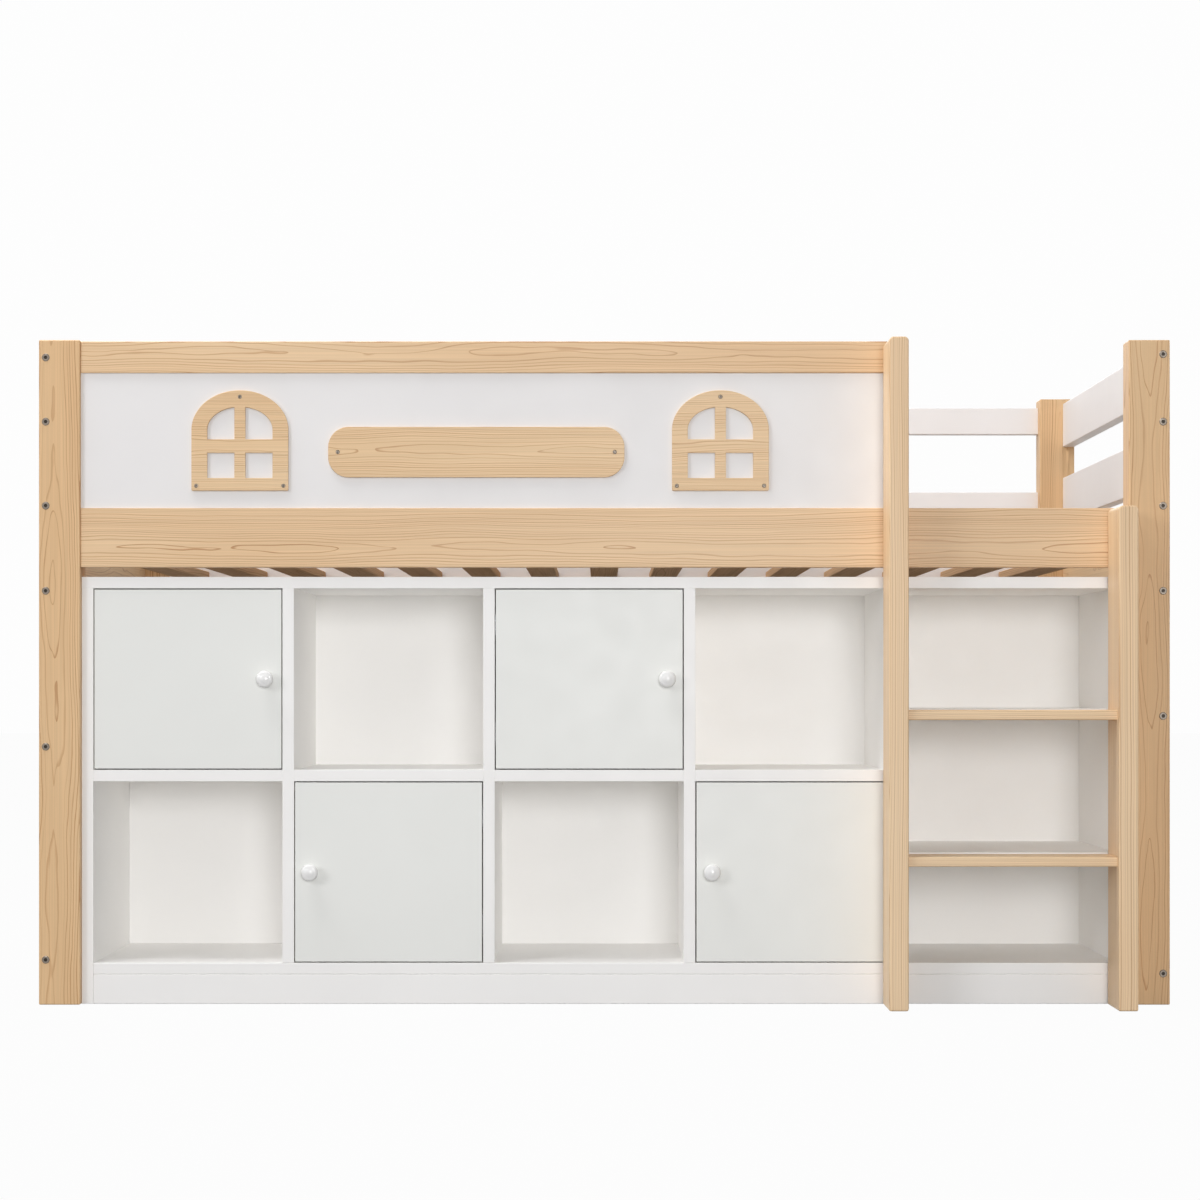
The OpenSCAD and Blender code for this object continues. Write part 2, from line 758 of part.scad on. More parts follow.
module cabinet_dowels()
    color(beech) {
        top_dowels(0);
        bottom_dowels(0);
        base_dowels(0);
        middle_dowels(0);
        bay_dowels(0);
    }

module cabinet_top()
    color(white)
    difference() {
        board(cab_x, cab_d, [top_board_z, cab_h]);
        top_dowels(fit);
    }

module cabinet_bottom()
    color(white)
    difference() {
        board(cab_in_x, cab_d, [plinth_h, bottom_top_z]);
        bottom_dowels(fit);
        base_dowels(fit);
    }

module cabinet_side(x)
    color(white)
    difference() {
        board([x, x + board_t], cab_d, [0, top_board_z]);
        top_dowels(fit);
        base_dowels(fit);
        middle_dowels(fit);
        bay_dowels(fit);
    }

module cabinet_divider(c)
    color(white)
    difference() {
        board([divider_x(c), divider_x(c) + board_t], cab_in_d, [bottom_top_z, top_board_z]);
        top_dowels(fit);
        bottom_dowels(fit);
        middle_dowels(fit);
        bay_dowels(fit);
    }

module cabinet_middle_shelves()
    color(white)
    difference() {
        for (c = [0:3])
            board([cell_x(c), divider_x(c)], cab_in_d, [mid_shelf_z, mid_shelf_z + board_t]);
        middle_dowels(fit);
    }

module ladder_bay_shelves()
    color(white)
    difference() {
        for (z = bay_shelf_zs) board(bay_x, cab_in_d, [z, z + board_t]);
        bay_dowels(fit);
    }

// A front and a back plinth carry the bottom board between the sides
module cabinet_plinths()
    color(white)
    for (d = [cab_d[0], cab_d[1] - board_t])
        board(cab_in_x, [d, d + board_t], [0, plinth_h]);

module cabinet_back()
    color(white)
    board(cab_in_x, [cab_in_d[1], cab_d[1]], [bottom_top_z, top_board_z]);

// ---- Doors ----

module door(i)
    color(door_white)
    difference() {
        board([min(hinge_x(i), hinge_x(i) + away(i) * door_w),
               max(hinge_x(i), hinge_x(i) + away(i) * door_w)],
              [cab_setback, cab_setback + door_t], [door_z(i), door_z(i) + door_h]);
        for (z = hinge_zs(i))
            facing_back(cup_x(i), cab_setback + door_t - cup_depth - fit, z)
                cylinder(d = cup_d + fit, h = cup_depth + fit + eps);
        facing_back(knob_x(i), cab_setback - eps, knob_z(i))
            cylinder(d = knob_screw_d + fit, h = door_t + 2 * eps);
    }

function cup_x(i) = hinge_x(i) + away(i) * (cup_edge + cup_d / 2);
function pivot_x(i) = hinge_x(i) + away(i) * pivot_in;

// A cup let into the back of the door, with the pin that the arm turns on
module hinge_cup(i, z) {
    back_d = cab_setback + door_t;
    difference() {
        union() {
            facing_back(cup_x(i), back_d - cup_depth, z) cylinder(d = cup_d, h = cup_depth);
            board([cup_x(i) - cup_flange[0] / 2, cup_x(i) + cup_flange[0] / 2],
                  [back_d, back_d + cup_flange[1]],
                  [z - cup_flange[2] / 2, z + cup_flange[2] / 2]);
            facing_back(cup_x(i), back_d, z) cylinder(d = cup_d, h = cup_flange[1]);
        }
        facing_back(cup_x(i), back_d - cup_depth + cup_floor, z)
            cylinder(d = cup_d - 2 * cup_wall, h = cup_depth + cup_flange[1]);
    }
    pin_l = cup_d - 2 * cup_wall + cup_wall / 2;
    translate([pivot_x(i), front_y + pivot_d, z - pin_l / 2]) cylinder(r = pin_r, h = pin_l);
}

module hinge_cups(i)
    color(steel) for (z = hinge_zs(i)) hinge_cup(i, z);

// A cranked arm: an eye round the pin, out past the door's swing, and back to its plate.
// Its own +X points to the board that carries it, its +Y to the back of the cabinet.
module hinge_arm() {
    plate_x0 = pivot_in + hinge_gap;
    linear_extrude(arm_h, center = true)
        difference() {
            union() {
                circle(eye_r);
                rotate(135) translate([0, -arm_t / 2]) square([arm_back * sqrt(2), arm_t]);
                translate([-arm_back, arm_back]) circle(arm_t / 2);
                translate([-arm_back, arm_back - arm_t / 2])
                    square([arm_back + plate_x0, arm_t]);
            }
            circle(pin_r + pin_play);
        }
    translate([plate_x0 - arm_t, arm_back - arm_t / 2, -hinge_plate_h / 2])
        cube([arm_t, hinge_plate_l, hinge_plate_h]);
}

module hinge_arms()
    color(steel)
    for (i = [0:3], z = hinge_zs(i))
        translate([pivot_x(i), front_y + pivot_d, z])
            mirror([away(i) > 0 ? 1 : 0, 0, 0]) hinge_arm();

// A turned knob with the screw that holds it from the back of the door
module door_knob(i) {
    neck_r = 7;
    rim_r = 6;
    dome = 2;
    neck_h = knob_h - 2 * rim_r - dome;
    color(white)
    difference() {
        facing_back(knob_x(i), cab_setback, knob_z(i)) mirror([0, 0, 1])
            rotate_extrude()
            intersection() {
                union() {
                    square([neck_r, neck_h + rim_r]);
                    translate([0, neck_h]) square([knob_d / 2 - rim_r, 2 * rim_r]);
                    translate([knob_d / 2 - rim_r, neck_h + rim_r]) circle(rim_r);
                    intersection() {
                        translate([0, knob_h - dome_r(dome, rim_r)])
                            circle(dome_r(dome, rim_r));
                        translate([0, knob_h - dome]) square([knob_d, dome]);
                    }
                }
                square([knob_d, knob_h]);
            }
        facing_back(knob_x(i), cab_setback - knob_screw_in - 1, knob_z(i))
            cylinder(d = knob_screw_d + fit, h = knob_screw_in + 1 + eps);
    }
    color(steel)
    facing_back(knob_x(i), cab_setback + door_t, knob_z(i)) {
        cylinder(d = knob_screw_head[0], h = knob_screw_head[1]);
        translate([0, 0, -door_t - knob_screw_in])
            cylinder(d = knob_screw_d, h = door_t + knob_screw_in + 0.1);
    }
}

// Radius of the dome whose edge meets the rim's inner line
function dome_r(dome, rim_r) = (pow(knob_d / 2 - rim_r, 2) + pow(dome, 2)) / (2 * dome);

// ---- Front trim ----

function ellipse(a, b, from, to, n) =
    [for (k = [0:n]) let (t = from + (to - from) * k / n) [a * cos(t), b * sin(t)]];

arch_steps = 24;
spring_h = window_h - arch_h;
pane_out = window_w / 2 - frame_w;
upper_pane_z = spring_h - upper_pane_h;
pane_h = upper_pane_z - cross_h - sill_h;
pane_arch_h = arch_h - arch_rim;

module window_outline()
    difference() {
        union() {
            translate([-window_w / 2, 0]) square([window_w, spring_h]);
            translate([0, spring_h])
                polygon(ellipse(window_w / 2, arch_h, 0, 180, arch_steps));
        }
        for (s = [-1, 1])
            translate([s > 0 ? bar_w / 2 : -pane_out, sill_h])
                square([pane_out - bar_w / 2, pane_h]);
        difference() {
            union() {
                translate([-pane_out, upper_pane_z]) square([2 * pane_out, upper_pane_h]);
                translate([0, spring_h])
                    polygon(ellipse(pane_out, pane_arch_h, 0, 180, arch_steps));
            }
            translate([-bar_w / 2, 0]) square([bar_w, window_h]);
        }
    }

// A flat outline in X and Z, standing on the front of the panel
module on_panel(x, z)
    translate([x, front_y + panel_d, z]) rotate([90, 0, 0])
        linear_extrude(trim_t) children();

module trim_screw_places() {
    for (x = window_xs, p = window_screws)
        facing_back(x + p[0], trim_d, window_z + p[1]) children();
    for (s = [-1, 1])
        facing_back(plate_x + s * (plate_w / 2 - plate_screw_in), trim_d, plate_z) children();
}

module trim_screw_holes()
    trim_screw_places() screw_hole(trim_screw_l + 1);

module trim_window(x)
    color(pine)
    difference() {
        on_panel(x, window_z) window_outline();
        trim_screw_holes();
    }

module name_plate()
    color(pine)
    difference() {
        on_panel(plate_x, plate_z)
            union() {
                square([plate_w - 2 * plate_r, plate_h], center = true);
                square([plate_w, plate_h - 2 * plate_r], center = true);
                for (s = [-1, 1], t = [-1, 1])
                    translate([s * (plate_w / 2 - plate_r), t * (plate_h / 2 - plate_r)])
                        circle(plate_r);
            }
        trim_screw_holes();
    }

module trim_screws()
    color(steel) trim_screw_places() screw(trim_screw_l);

// ---- The assembly ----

post(-1, 0);  // post_front_left
post(1, 0);  // post_front_right
post(-1, 1);  // post_back_left
post(1, 1);  // post_back_right
post_bolts();
rail_bolts();
barrel_nuts();
end_stiles(-1);  // end_stiles_left
end_stiles(1);  // end_stiles_right
end_guard_rails(-1);  // end_guard_rails_left
end_guard_rails(1);  // end_guard_rails_right
end_bed_rail(-1);  // end_bed_rail_left
end_bed_rail(1);  // end_bed_rail_right
end_lower_rails(-1);  // end_lower_rails_left
end_lower_rails(1);  // end_lower_rails_right
front_top_rail();
front_panel();
front_bed_rail();
back_rail([back_top_z, back_top_z + back_rail_h], back_top_zs);  // back_top_rail
back_rail([back_middle_z, back_middle_z + back_rail_h], back_middle_zs);  // back_middle_rail
back_rail([bed_rail_z, bed_rail_top], bed_bolt_zs);  // back_bed_rail
ledge(0);  // ledge_front
ledge(1);  // ledge_back
slats();
slat_screws();
ladder_stile(left_stile_x, left_stile_top, concat(ladder_bed_zs, [ladder_top_z]));  // ladder_stile_left
ladder_stile(right_stile_x, right_stile_top, ladder_bed_zs);  // ladder_stile_right
ladder_rungs();
ladder_bolts();
cabinet_top();
cabinet_bottom();
cabinet_side(cab_x[0]);  // cabinet_side_left
cabinet_side(cab_in_x[1]);  // cabinet_side_right
for (c = [0:3])
    cabinet_divider(c);
cabinet_middle_shelves();
ladder_bay_shelves();
cabinet_plinths();
cabinet_back();
cabinet_dowels();
for (i = [0:3]) {
    door(i);
    door_knob(i);
    hinge_cups(i);
}
hinge_arms();
trim_window(window_xs[0]);  // window_left
trim_window(window_xs[1]);  // window_right
name_plate();
trim_screws();
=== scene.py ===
# Cabin bed of pine and white lacquered board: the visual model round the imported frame.
# Metres. +X runs to the ladder end, -Y is the front, +Z is up, the floor is at 0.
import math
import random

import bmesh
import bpy
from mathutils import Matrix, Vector


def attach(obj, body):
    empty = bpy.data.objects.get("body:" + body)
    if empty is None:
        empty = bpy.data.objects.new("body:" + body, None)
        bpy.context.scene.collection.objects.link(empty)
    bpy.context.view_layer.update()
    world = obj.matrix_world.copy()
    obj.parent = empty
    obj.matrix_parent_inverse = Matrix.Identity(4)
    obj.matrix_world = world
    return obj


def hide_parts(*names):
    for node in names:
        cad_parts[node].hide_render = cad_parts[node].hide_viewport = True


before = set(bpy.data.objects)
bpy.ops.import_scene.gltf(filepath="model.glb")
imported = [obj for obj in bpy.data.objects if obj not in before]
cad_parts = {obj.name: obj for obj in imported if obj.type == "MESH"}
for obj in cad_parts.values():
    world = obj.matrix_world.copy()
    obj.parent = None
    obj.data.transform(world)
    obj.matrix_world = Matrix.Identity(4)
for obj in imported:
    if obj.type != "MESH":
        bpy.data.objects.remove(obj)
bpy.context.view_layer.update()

scene = bpy.context.scene

# ---- Studio ----
# The bed stands on a pale studio floor in white air. A soft lamp in front lights it into
# the cells, and a larger one at the left gives soft shadows. Three more lamps, over it,
# behind it and at the right, keep the slats, the rear and the right end from going dull.


def srgb(code):
    """A colour written in sRGB hex, as the linear values a shader takes."""
    parts = [int(code[i:i + 2], 16) / 255 for i in (0, 2, 4)]
    return tuple(p / 12.92 if p <= 0.04045 else ((p + 0.055) / 1.055) ** 2.4
                 for p in parts) + (1.0,)


def put(tree, kind, settings={}, **inputs):
    """Adds a node. An input goes by its name, or by _ and its number, and takes a value,
    a node, a socket, or a list of them for a socket that joins several."""
    node = tree.nodes.new(kind)
    for key, value in settings.items():
        setattr(node, key, value)
    for key, value in inputs.items():
        if key[0] == "_":
            socket = node.inputs[int(key[1:])]
        else:
            name = key.replace("_", " ")
            socket = next(s for s in node.inputs if s.name == name and s.enabled)
        for one in value if isinstance(value, list) else [value]:
            if isinstance(one, bpy.types.Node):
                one = next(s for s in one.outputs if s.enabled)
            if isinstance(one, bpy.types.NodeSocket):
                tree.links.new(one, socket)
            else:
                socket.default_value = one
    return node


def blank(name):
    """A new material with an empty node tree, and that tree."""
    finish = bpy.data.materials.new(name)
    finish.use_nodes = True
    finish.node_tree.nodes.clear()
    return finish, finish.node_tree


def seen_ray(tree):
    """1 for the rays that show the studio itself: camera, mirror and glass rays."""
    path = put(tree, "ShaderNodeLightPath")
    seen = put(tree, "ShaderNodeMath", {"operation": "MAXIMUM"},
               _0=path.outputs["Is Camera Ray"], _1=path.outputs["Is Glossy Ray"])
    return put(tree, "ShaderNodeMath", {"operation": "MAXIMUM"},
               _0=seen, _1=path.outputs["Is Transmission Ray"])


scene.view_settings.view_transform = "Standard"
# Light goes to and fro many times between the cabinet's white boards.
scene.cycles.max_bounces, scene.cycles.diffuse_bounces = 16, 12
air_light, air_white = 0.37, 0.985
world = bpy.data.worlds.new("studio_air")
scene.world = world
world.use_nodes = True
air = world.node_tree
air.nodes.clear()
air_lit = put(air, "ShaderNodeBackground", Color=srgb("FEFEFF"), Strength=air_light)
air_seen = put(air, "ShaderNodeBackground", Color=srgb("FFFFFF"), Strength=air_white)
put(air, "ShaderNodeOutputWorld",
    Surface=put(air, "ShaderNodeMixShader", _0=seen_ray(air), _1=air_lit, _2=air_seen))

# A painted floor: white where the camera sees it, darker only under the bed.
floor_paint, paint = blank("floor_paint_matt")
floor_white = 0.97
matt = put(paint, "ShaderNodeBsdfDiffuse", Color=srgb("7E7D7C"))
glow = put(paint, "ShaderNodeEmission", Color=srgb("FFFFFF"), Strength=1.0)
share = put(paint, "ShaderNodeMath", {"operation": "MULTIPLY"},
            _0=seen_ray(paint), _1=floor_white)
put(paint, "ShaderNodeOutputMaterial",
    Surface=put(paint, "ShaderNodeMixShader", _0=share, _1=matt, _2=glow))
floor_half, floor_top = 30, -0.0004
floor_mesh = bpy.data.meshes.new("floor")
floor_mesh.from_pydata([(x * floor_half, y * floor_half, floor_top) for x, y in
                        ((-1, -1), (1, -1), (1, 1), (-1, 1))], [], [(0, 1, 2, 3)])
floor_mesh.materials.append(floor_paint)
floor = bpy.data.objects.new("floor", floor_mesh)
scene.collection.objects.link(floor)

# Each lamp has its place, the point it is aimed at, its width, its watts and its colour.
lamps = {"front_lamp": ((0.7, -7.4, 1.25), (0.0, -0.3, 0.6), 1.8, 172, "FEFEFF"),
         "key_lamp": ((-5.4, -5.8, 2.7), (0.2, -0.4, 0.6), 3.0, 125, "FEFDFF"),
         "top_lamp": ((-1.7, -0.7, 4.2), (0.0, 0.0, 0.6), 2.2, 118, "FEFEFF"),
         "back_lamp": ((0.4, 6.6, 3.6), (0.0, 0.5, 0.5), 3.0, 80, "FEFEFF"),
         "right_lamp": ((6.2, 1.4, 2.2), (0.3, 0.0, 0.6), 3.0, 100, "FEFEFF")}
for name, (at, aim, width, watts, tint) in lamps.items():
    light = bpy.data.lights.new(name, "AREA")
    light.shape, light.size = "DISK", width
    light.energy, light.color = watts, srgb(tint)[:3]
    lamp = bpy.data.objects.new(name, light)
    lamp.location = at
    lamp.rotation_euler = (Vector(aim) - Vector(at)).to_track_quat("-Z", "Y").to_euler()
    scene.collection.objects.link(lamp)

camera_data = bpy.data.cameras.new("camera")
camera_data.lens, camera_data.sensor_width = 75.615, 36
camera_data.shift_x, camera_data.shift_y = -0.00167, 0.0767
camera = bpy.data.objects.new("camera", camera_data)
camera.location = (-0.0044, -5.0325, 0.5696)
camera.rotation_euler = (math.pi / 2, 0, 0)
scene.collection.objects.link(camera)
scene.camera = camera

# ---- Posts and the end frames' stiles ----
# Four planed pine posts, 75 x 50 mm, rebated at the outer corner. The end frames' pine
# stiles are let into the rebates, and bolts pull post and stile together.


def islands(mesh):
    """The vertex numbers of each loose part of a mesh."""
    above = list(range(len(mesh.vertices)))

    def top(i):
        while above[i] != i:
            above[i] = above[above[i]]
            i = above[i]
        return i

    for edge in mesh.edges:
        a, b = top(edge.vertices[0]), top(edge.vertices[1])
        above[max(a, b)] = min(a, b)
    parts = {}
    for i in range(len(above)):
        parts.setdefault(top(i), []).append(i)
    return list(parts.values())


# CAD corners closer than weld are one corner, and flat is the most a corner on a board's
# outer plane may lie off it. Faces that meet at less than level are one flat face, and
# only edges that turn by more than sharp are eased.
weld, flat = 2e-6, 1e-5
level, sharp, ease_steps = math.radians(1), math.radians(20), 3


def eased(name, node, ease, shortest=0.01, inner=0.25):
    """A merged copy of a CAD node with its outer edges rounded over, as a new object.
    Long edges inside the outline, such as those of grooves, get the share inner of it."""
    b = bmesh.new()
    b.from_mesh(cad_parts[node].data)
    bmesh.ops.remove_doubles(b, verts=b.verts, dist=weld)
    bmesh.ops.dissolve_limit(b, angle_limit=level, verts=b.verts, edges=b.edges)
    mesh = bpy.data.meshes.new(name)
    b.to_mesh(mesh)
    b.free()
    planes = {}
    for part in islands(mesh):
        for axis in range(3):
            marks = [mesh.vertices[i].co[axis] for i in part]
            for i in part:
                for end in (min(marks), max(marks)):
                    if abs(mesh.vertices[i].co[axis] - end) < flat:
                        planes.setdefault(i, set()).add((axis, end))
    b = bmesh.new()
    b.from_mesh(mesh)
    weight = b.edges.layers.float.new("bevel_weight_edge")
    for edge in b.edges:
        if len(edge.link_faces) != 2 or edge.calc_face_angle() < sharp:
            continue
        edge.smooth = False
        if not edge.is_convex or edge.calc_length() < shortest:
            continue
        first, second = (planes.get(v.index, set()) for v in edge.verts)
        step = edge.verts[1].co - edge.verts[0].co
        slanting = sum(abs(c) > flat for c in step) > 1
        shared = len(first & second)
        if shared > 1 or (shared and slanting):
            edge[weight] = 1.0
        elif shared and inner:
            edge[weight] = inner
    for face in b.faces:
        face.smooth = True
    b.to_mesh(mesh)
    b.free()
    piece = bpy.data.objects.new(name, mesh)
    scene.collection.objects.link(piece)
    bevel = piece.modifiers.new("ease", "BEVEL")
    bevel.limit_method, bevel.width, bevel.segments = "WEIGHT", ease, ease_steps
    bevel.use_clamp_overlap, bevel.harden_normals = False, True
    graph = bpy.context.evaluated_depsgraph_get()
    done = bpy.data.meshes.new_from_object(piece.evaluated_get(graph), depsgraph=graph)
    piece.modifiers.remove(bevel)
    piece.data = done
    done.name = name
    bpy.data.meshes.remove(mesh)
    return piece


chance = random.Random(41)
stem_run = 30.0        # metres of grain that the boards are cut from


def sawn(mesh, pith, lean=0.3, back=1, along=None):
    """Cuts each loose board of a mesh from its own place in a stem. The point attribute
    grain holds, in metres, the way along the stem and the two ways out from its pith.
    The pith lies between the two depths of pith in from the board's low face, or from
    its high face where back is -1, and off its middle by up to the share lean of its
    width. The stem runs along the board's longest side, or along the axis given."""
    grain = mesh.attributes.new("grain", "FLOAT_VECTOR", "POINT")
    for part in islands(mesh):
        low = [min(mesh.vertices[i].co[a] for i in part) for a in range(3)]
        high = [max(mesh.vertices[i].co[a] for i in part) for a in range(3)]
        thin, wide, long = sorted(range(3), key=lambda a: high[a] - low[a])
        if along is not None and long != along:
            wide, long = long, along
        start = chance.uniform(0, stem_run)
        side = (low[wide] + high[wide]) / 2
        side += chance.uniform(-lean, lean) * (high[wide] - low[wide])
        deep = chance.uniform(*pith)
        heart = low[thin] + deep if back > 0 else high[thin] - deep
        for i in part:
            at = mesh.vertices[i].co
            grain.data[i].vector = (at[long] - low[long] + start,
                                    at[wide] - side, at[thin] - heart)


def pine(name, pale, dark, ring, bend, fibre=1.0, knots=0.5, sheen=0.4):
    """Planed pine under clear matt lacquer. Growth rings lie round a stem whose pith
    bends by bend metres, so a board cut near it shows cathedrals and pointed ovals, and
    one cut across the rings shows straight lines. The darker late wood of each ring is a
    thin line, hard on the outer side, and lies a little higher than the soft early wood.
    Fibres are 0.05 mm, which is too fine to show: they are drawn 1.5 to 2.5 mm wide."""
    finish, tree = blank(name)
    times, smooth = {"operation": "MULTIPLY"}, {"interpolation_type": "SMOOTHSTEP"}
    grain = put(tree, "ShaderNodeAttribute", {"attribute_name": "grain"}).outputs["Vector"]
    # The pith wanders over 450 mm of stem, and a tenth as far over 80 mm.
    place = grain
    for along, across, reach in ((2.2, 8.0, bend), (12.0, 60.0, bend * 0.10)):
        drift = put(tree, "ShaderNodeTexNoise", Scale=1.0, Detail=1.0,
                    Vector=put(tree, "ShaderNodeMapping", Vector=grain,
                               Scale=(along, across, across)))
        offset = put(tree, "ShaderNodeVectorMath", {"operation": "SUBTRACT"},
                     _0=drift.outputs["Color"], _1=(0.5, 0.5, 0.5))
        place = put(tree, "ShaderNodeVectorMath", {"operation": "MULTIPLY_ADD"},
                    _0=offset, _1=(0.0, reach, reach), _2=place)
    out = put(tree, "ShaderNodeVectorMath", times, _0=place, _1=(0.0, 1.0, 1.0))
    radius = put(tree, "ShaderNodeVectorMath", {"operation": "LENGTH"}, _0=out)
    # A knot each metre or so, 12 mm across and 30 mm long, with the rings led round it.
    branch = put(tree, "ShaderNodeTexVoronoi",
                 Vector=put(tree, "ShaderNodeMapping", Vector=grain, Scale=(1.7, 4.0, 0.6)),
                 Scale=1.0)
    there = put(tree, "ShaderNodeMath", {"operation": "LESS_THAN"},
                _0=put(tree, "ShaderNodeSeparateColor", Color=branch.outputs["Color"]),
                _1=knots)
    round_knot = put(tree, "ShaderNodeMapRange", smooth, To_Min=0.0, To_Max=1.6,
                     Value=branch.outputs["Distance"], From_Min=0.20, From_Max=0.0)
    lead = put(tree, "ShaderNodeMath", times, _0=round_knot, _1=there)
    # Good and poor years: wide and narrow rings follow each other over 10 to 15 mm.
    years = put(tree, "ShaderNodeTexNoise", {"noise_dimensions": "1D"}, W=radius,
                Scale=80.0, Detail=1.0)
    count = put(tree, "ShaderNodeMath", {"operation": "MULTIPLY_ADD"},
                _0=radius, _1=1 / ring, _2=lead)
    count = put(tree, "ShaderNodeMath", {"operation": "MULTIPLY_ADD"},
                _0=years, _1=1.6, _2=count)
    season = put(tree, "ShaderNodeMath", {"operation": "FRACT"}, _0=count)
    # Where the saw meets a ring flat, the late wood would widen to a patch: there the
    # share of the ring that is dark is cut down, so its line keeps about its width.
    across = put(tree, "ShaderNodeMath", {"operation": "ABSOLUTE"},
                 _0=put(tree, "ShaderNodeSeparateXYZ", Vector=out).outputs["Y"])
    share = put(tree, "ShaderNodeMapRange", From_Max=0.6, To_Min=0.12, To_Max=1.0,
                Value=put(tree, "ShaderNodeMath", {"operation": "DIVIDE"},
                          _0=across, _1=radius))
    left = put(tree, "ShaderNodeMath", {"operation": "DIVIDE"}, _1=share,
               _0=put(tree, "ShaderNodeMath", {"operation": "SUBTRACT"},
                      _0=1.0, _1=season))
    rise = put(tree, "ShaderNodeMapRange", smooth, Value=left, From_Min=0.42,
               From_Max=0.08)
    fall = put(tree, "ShaderNodeMapRange", smooth, Value=left, From_Min=0.0,
               From_Max=0.04)
    late = put(tree, "ShaderNodeMath", times, _0=rise, _1=fall)
    # Each year's line has its own strength.
    year = put(tree, "ShaderNodeTexWhiteNoise", {"noise_dimensions": "1D"},
               W=put(tree, "ShaderNodeMath", {"operation": "FLOOR"}, _0=count))
    strong = put(tree, "ShaderNodeMapRange", Value=year, To_Min=0.12, To_Max=0.75)
    late = put(tree, "ShaderNodeMath", times, _0=late, _1=strong)

    fibres = put(tree, "ShaderNodeTexNoise", Scale=1.0, Detail=2.0,
                 Vector=put(tree, "ShaderNodeMapping", Vector=grain,
                            Scale=(3.0, 400.0, 400.0)))
    streak = put(tree, "ShaderNodeMapRange", Value=fibres, From_Min=0.3, From_Max=0.7,
                 To_Min=1.0 - 0.07 * fibre, To_Max=1.0 + 0.05 * fibre)
    broad = put(tree, "ShaderNodeTexNoise", Scale=1.0, Detail=2.0,
                Vector=put(tree, "ShaderNodeMapping", Vector=grain, Scale=(1.1, 9.0, 9.0)))
    redder = put(tree, "ShaderNodeMapRange", Value=broad, From_Min=0.3, From_Max=0.7)
    colour = put(tree, "ShaderNodeMix", {"data_type": "RGBA"}, Factor=late,
                 A=srgb(pale), B=srgb(dark))
    colour = put(tree, "ShaderNodeMix", {"data_type": "RGBA", "blend_type": "MULTIPLY"},
                 Factor=1.0, A=colour, B=streak)
    # The wood is redder in soft bands along the board, 0.1 m wide and 1 m long.
    colour = put(tree, "ShaderNodeMix", {"data_type": "RGBA", "blend_type": "MULTIPLY"},
                 Factor=redder, A=colour, B=srgb("F7F0E8"))
    heart = put(tree, "ShaderNodeMapRange", smooth, Value=branch.outputs["Distance"],
                From_Min=0.032, From_Max=0.018)
    knot = put(tree, "ShaderNodeMath", times, _0=heart, _1=there)
    colour = put(tree, "ShaderNodeMix", {"data_type": "RGBA"}, A=colour,
                 B=srgb("A8703F"), Factor=put(tree, "ShaderNodeMath", times, _0=knot, _1=0.75))
    relief = put(tree, "ShaderNodeMath", {"operation": "MULTIPLY_ADD"},
                 _0=fibres, _1=0.7, _2=late)
    surface = put(tree, "ShaderNodeBsdfPrincipled", Base_Color=colour, IOR=1.5,
                  Specular_IOR_Level=sheen,
                  Roughness=put(tree, "ShaderNodeMapRange", Value=relief, To_Min=0.52,
                                To_Max=0.38),
                  Normal=put(tree, "ShaderNodeBump", Height=relief, Strength=0.35,
                             Distance=0.0004))
    put(tree, "ShaderNodeOutputMaterial", Surface=surface)
    return finish


# Posts: flat-sawn pine, rings 3.6 mm apart, which show 6 to 9 mm apart where the saw
# meets them flat, as long pointed ovals.
post_pine = pine("pine_planed_posts", "E3C093", "A4682C", ring=0.0036, bend=0.030)
post_ease, stile_ease = 0.0022, 0.0012
for end in ("left", "right"):
    for row in ("front", "back"):
        node = f"post_{row}_{end}"
        piece = eased(f"planed_{node}", node, post_ease)
        sawn(piece.data, pith=(0.036, 0.046), back=1 if row == "front" else -1)
        piece.data.materials.append(post_pine)
        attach(piece, "frame")
        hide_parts(node)
    node = f"end_stiles_{end}"
    piece = eased(f"planed_{node}", node, stile_ease)
    sawn(piece.data, pith=(0.05, 0.08), back=-1 if end == "left" else 1)
    piece.data.materials.append(post_pine)
    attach(piece, "frame")
    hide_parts(node)

# ---- End rails ----
# Five rails tenoned into each end frame's stiles: two guard rails and two lower rails
# of white lacquered board, and a bed rail of planed pine between them.

# Rails: the same lacquered pine, a little paler, cut near the pith, so that their faces
# show long cathedrals.
rail_pine = pine("pine_planed_rails", "EACBA3", "AB7033", ring=0.0034, bend=0.030)


def lacquer(name, colour, shade, rough, peel, peel_height=0.00003):
    """Sprayed white lacquer on board. It dries with a faint orange peel, 1 to 2 mm across
    and too fine to show: it is drawn peel metres wide. Thin and thick coats differ a
    little in tone, over 300 mm, and in gloss, over 50 mm."""
    finish, tree = blank(name)
    at = put(tree, "ShaderNodeTexCoord").outputs["Object"]
    coats = put(tree, "ShaderNodeTexNoise", Vector=at, Scale=3.5, Detail=3.0)
    thick = put(tree, "ShaderNodeMapRange", Value=coats, From_Min=0.3, From_Max=0.7)
    skin = put(tree, "ShaderNodeTexNoise", Vector=at, Scale=1 / peel, Detail=1.5)
    gloss = put(tree, "ShaderNodeTexNoise", Vector=at, Scale=22.0, Detail=2.0)
    surface = put(tree, "ShaderNodeBsdfPrincipled", IOR=1.5,
                  Base_Color=put(tree, "ShaderNodeMix", {"data_type": "RGBA"},
                                 Factor=thick, A=srgb(shade), B=srgb(colour)),
                  Roughness=put(tree, "ShaderNodeMapRange", Value=gloss, From_Min=0.3,
                                From_Max=0.7, To_Min=rough - 0.05, To_Max=rough + 0.05),
                  Normal=put(tree, "ShaderNodeBump", Height=skin, Strength=0.5,
                             Distance=peel_height))
    put(tree, "ShaderNodeOutputMaterial", Surface=surface)
    return finish


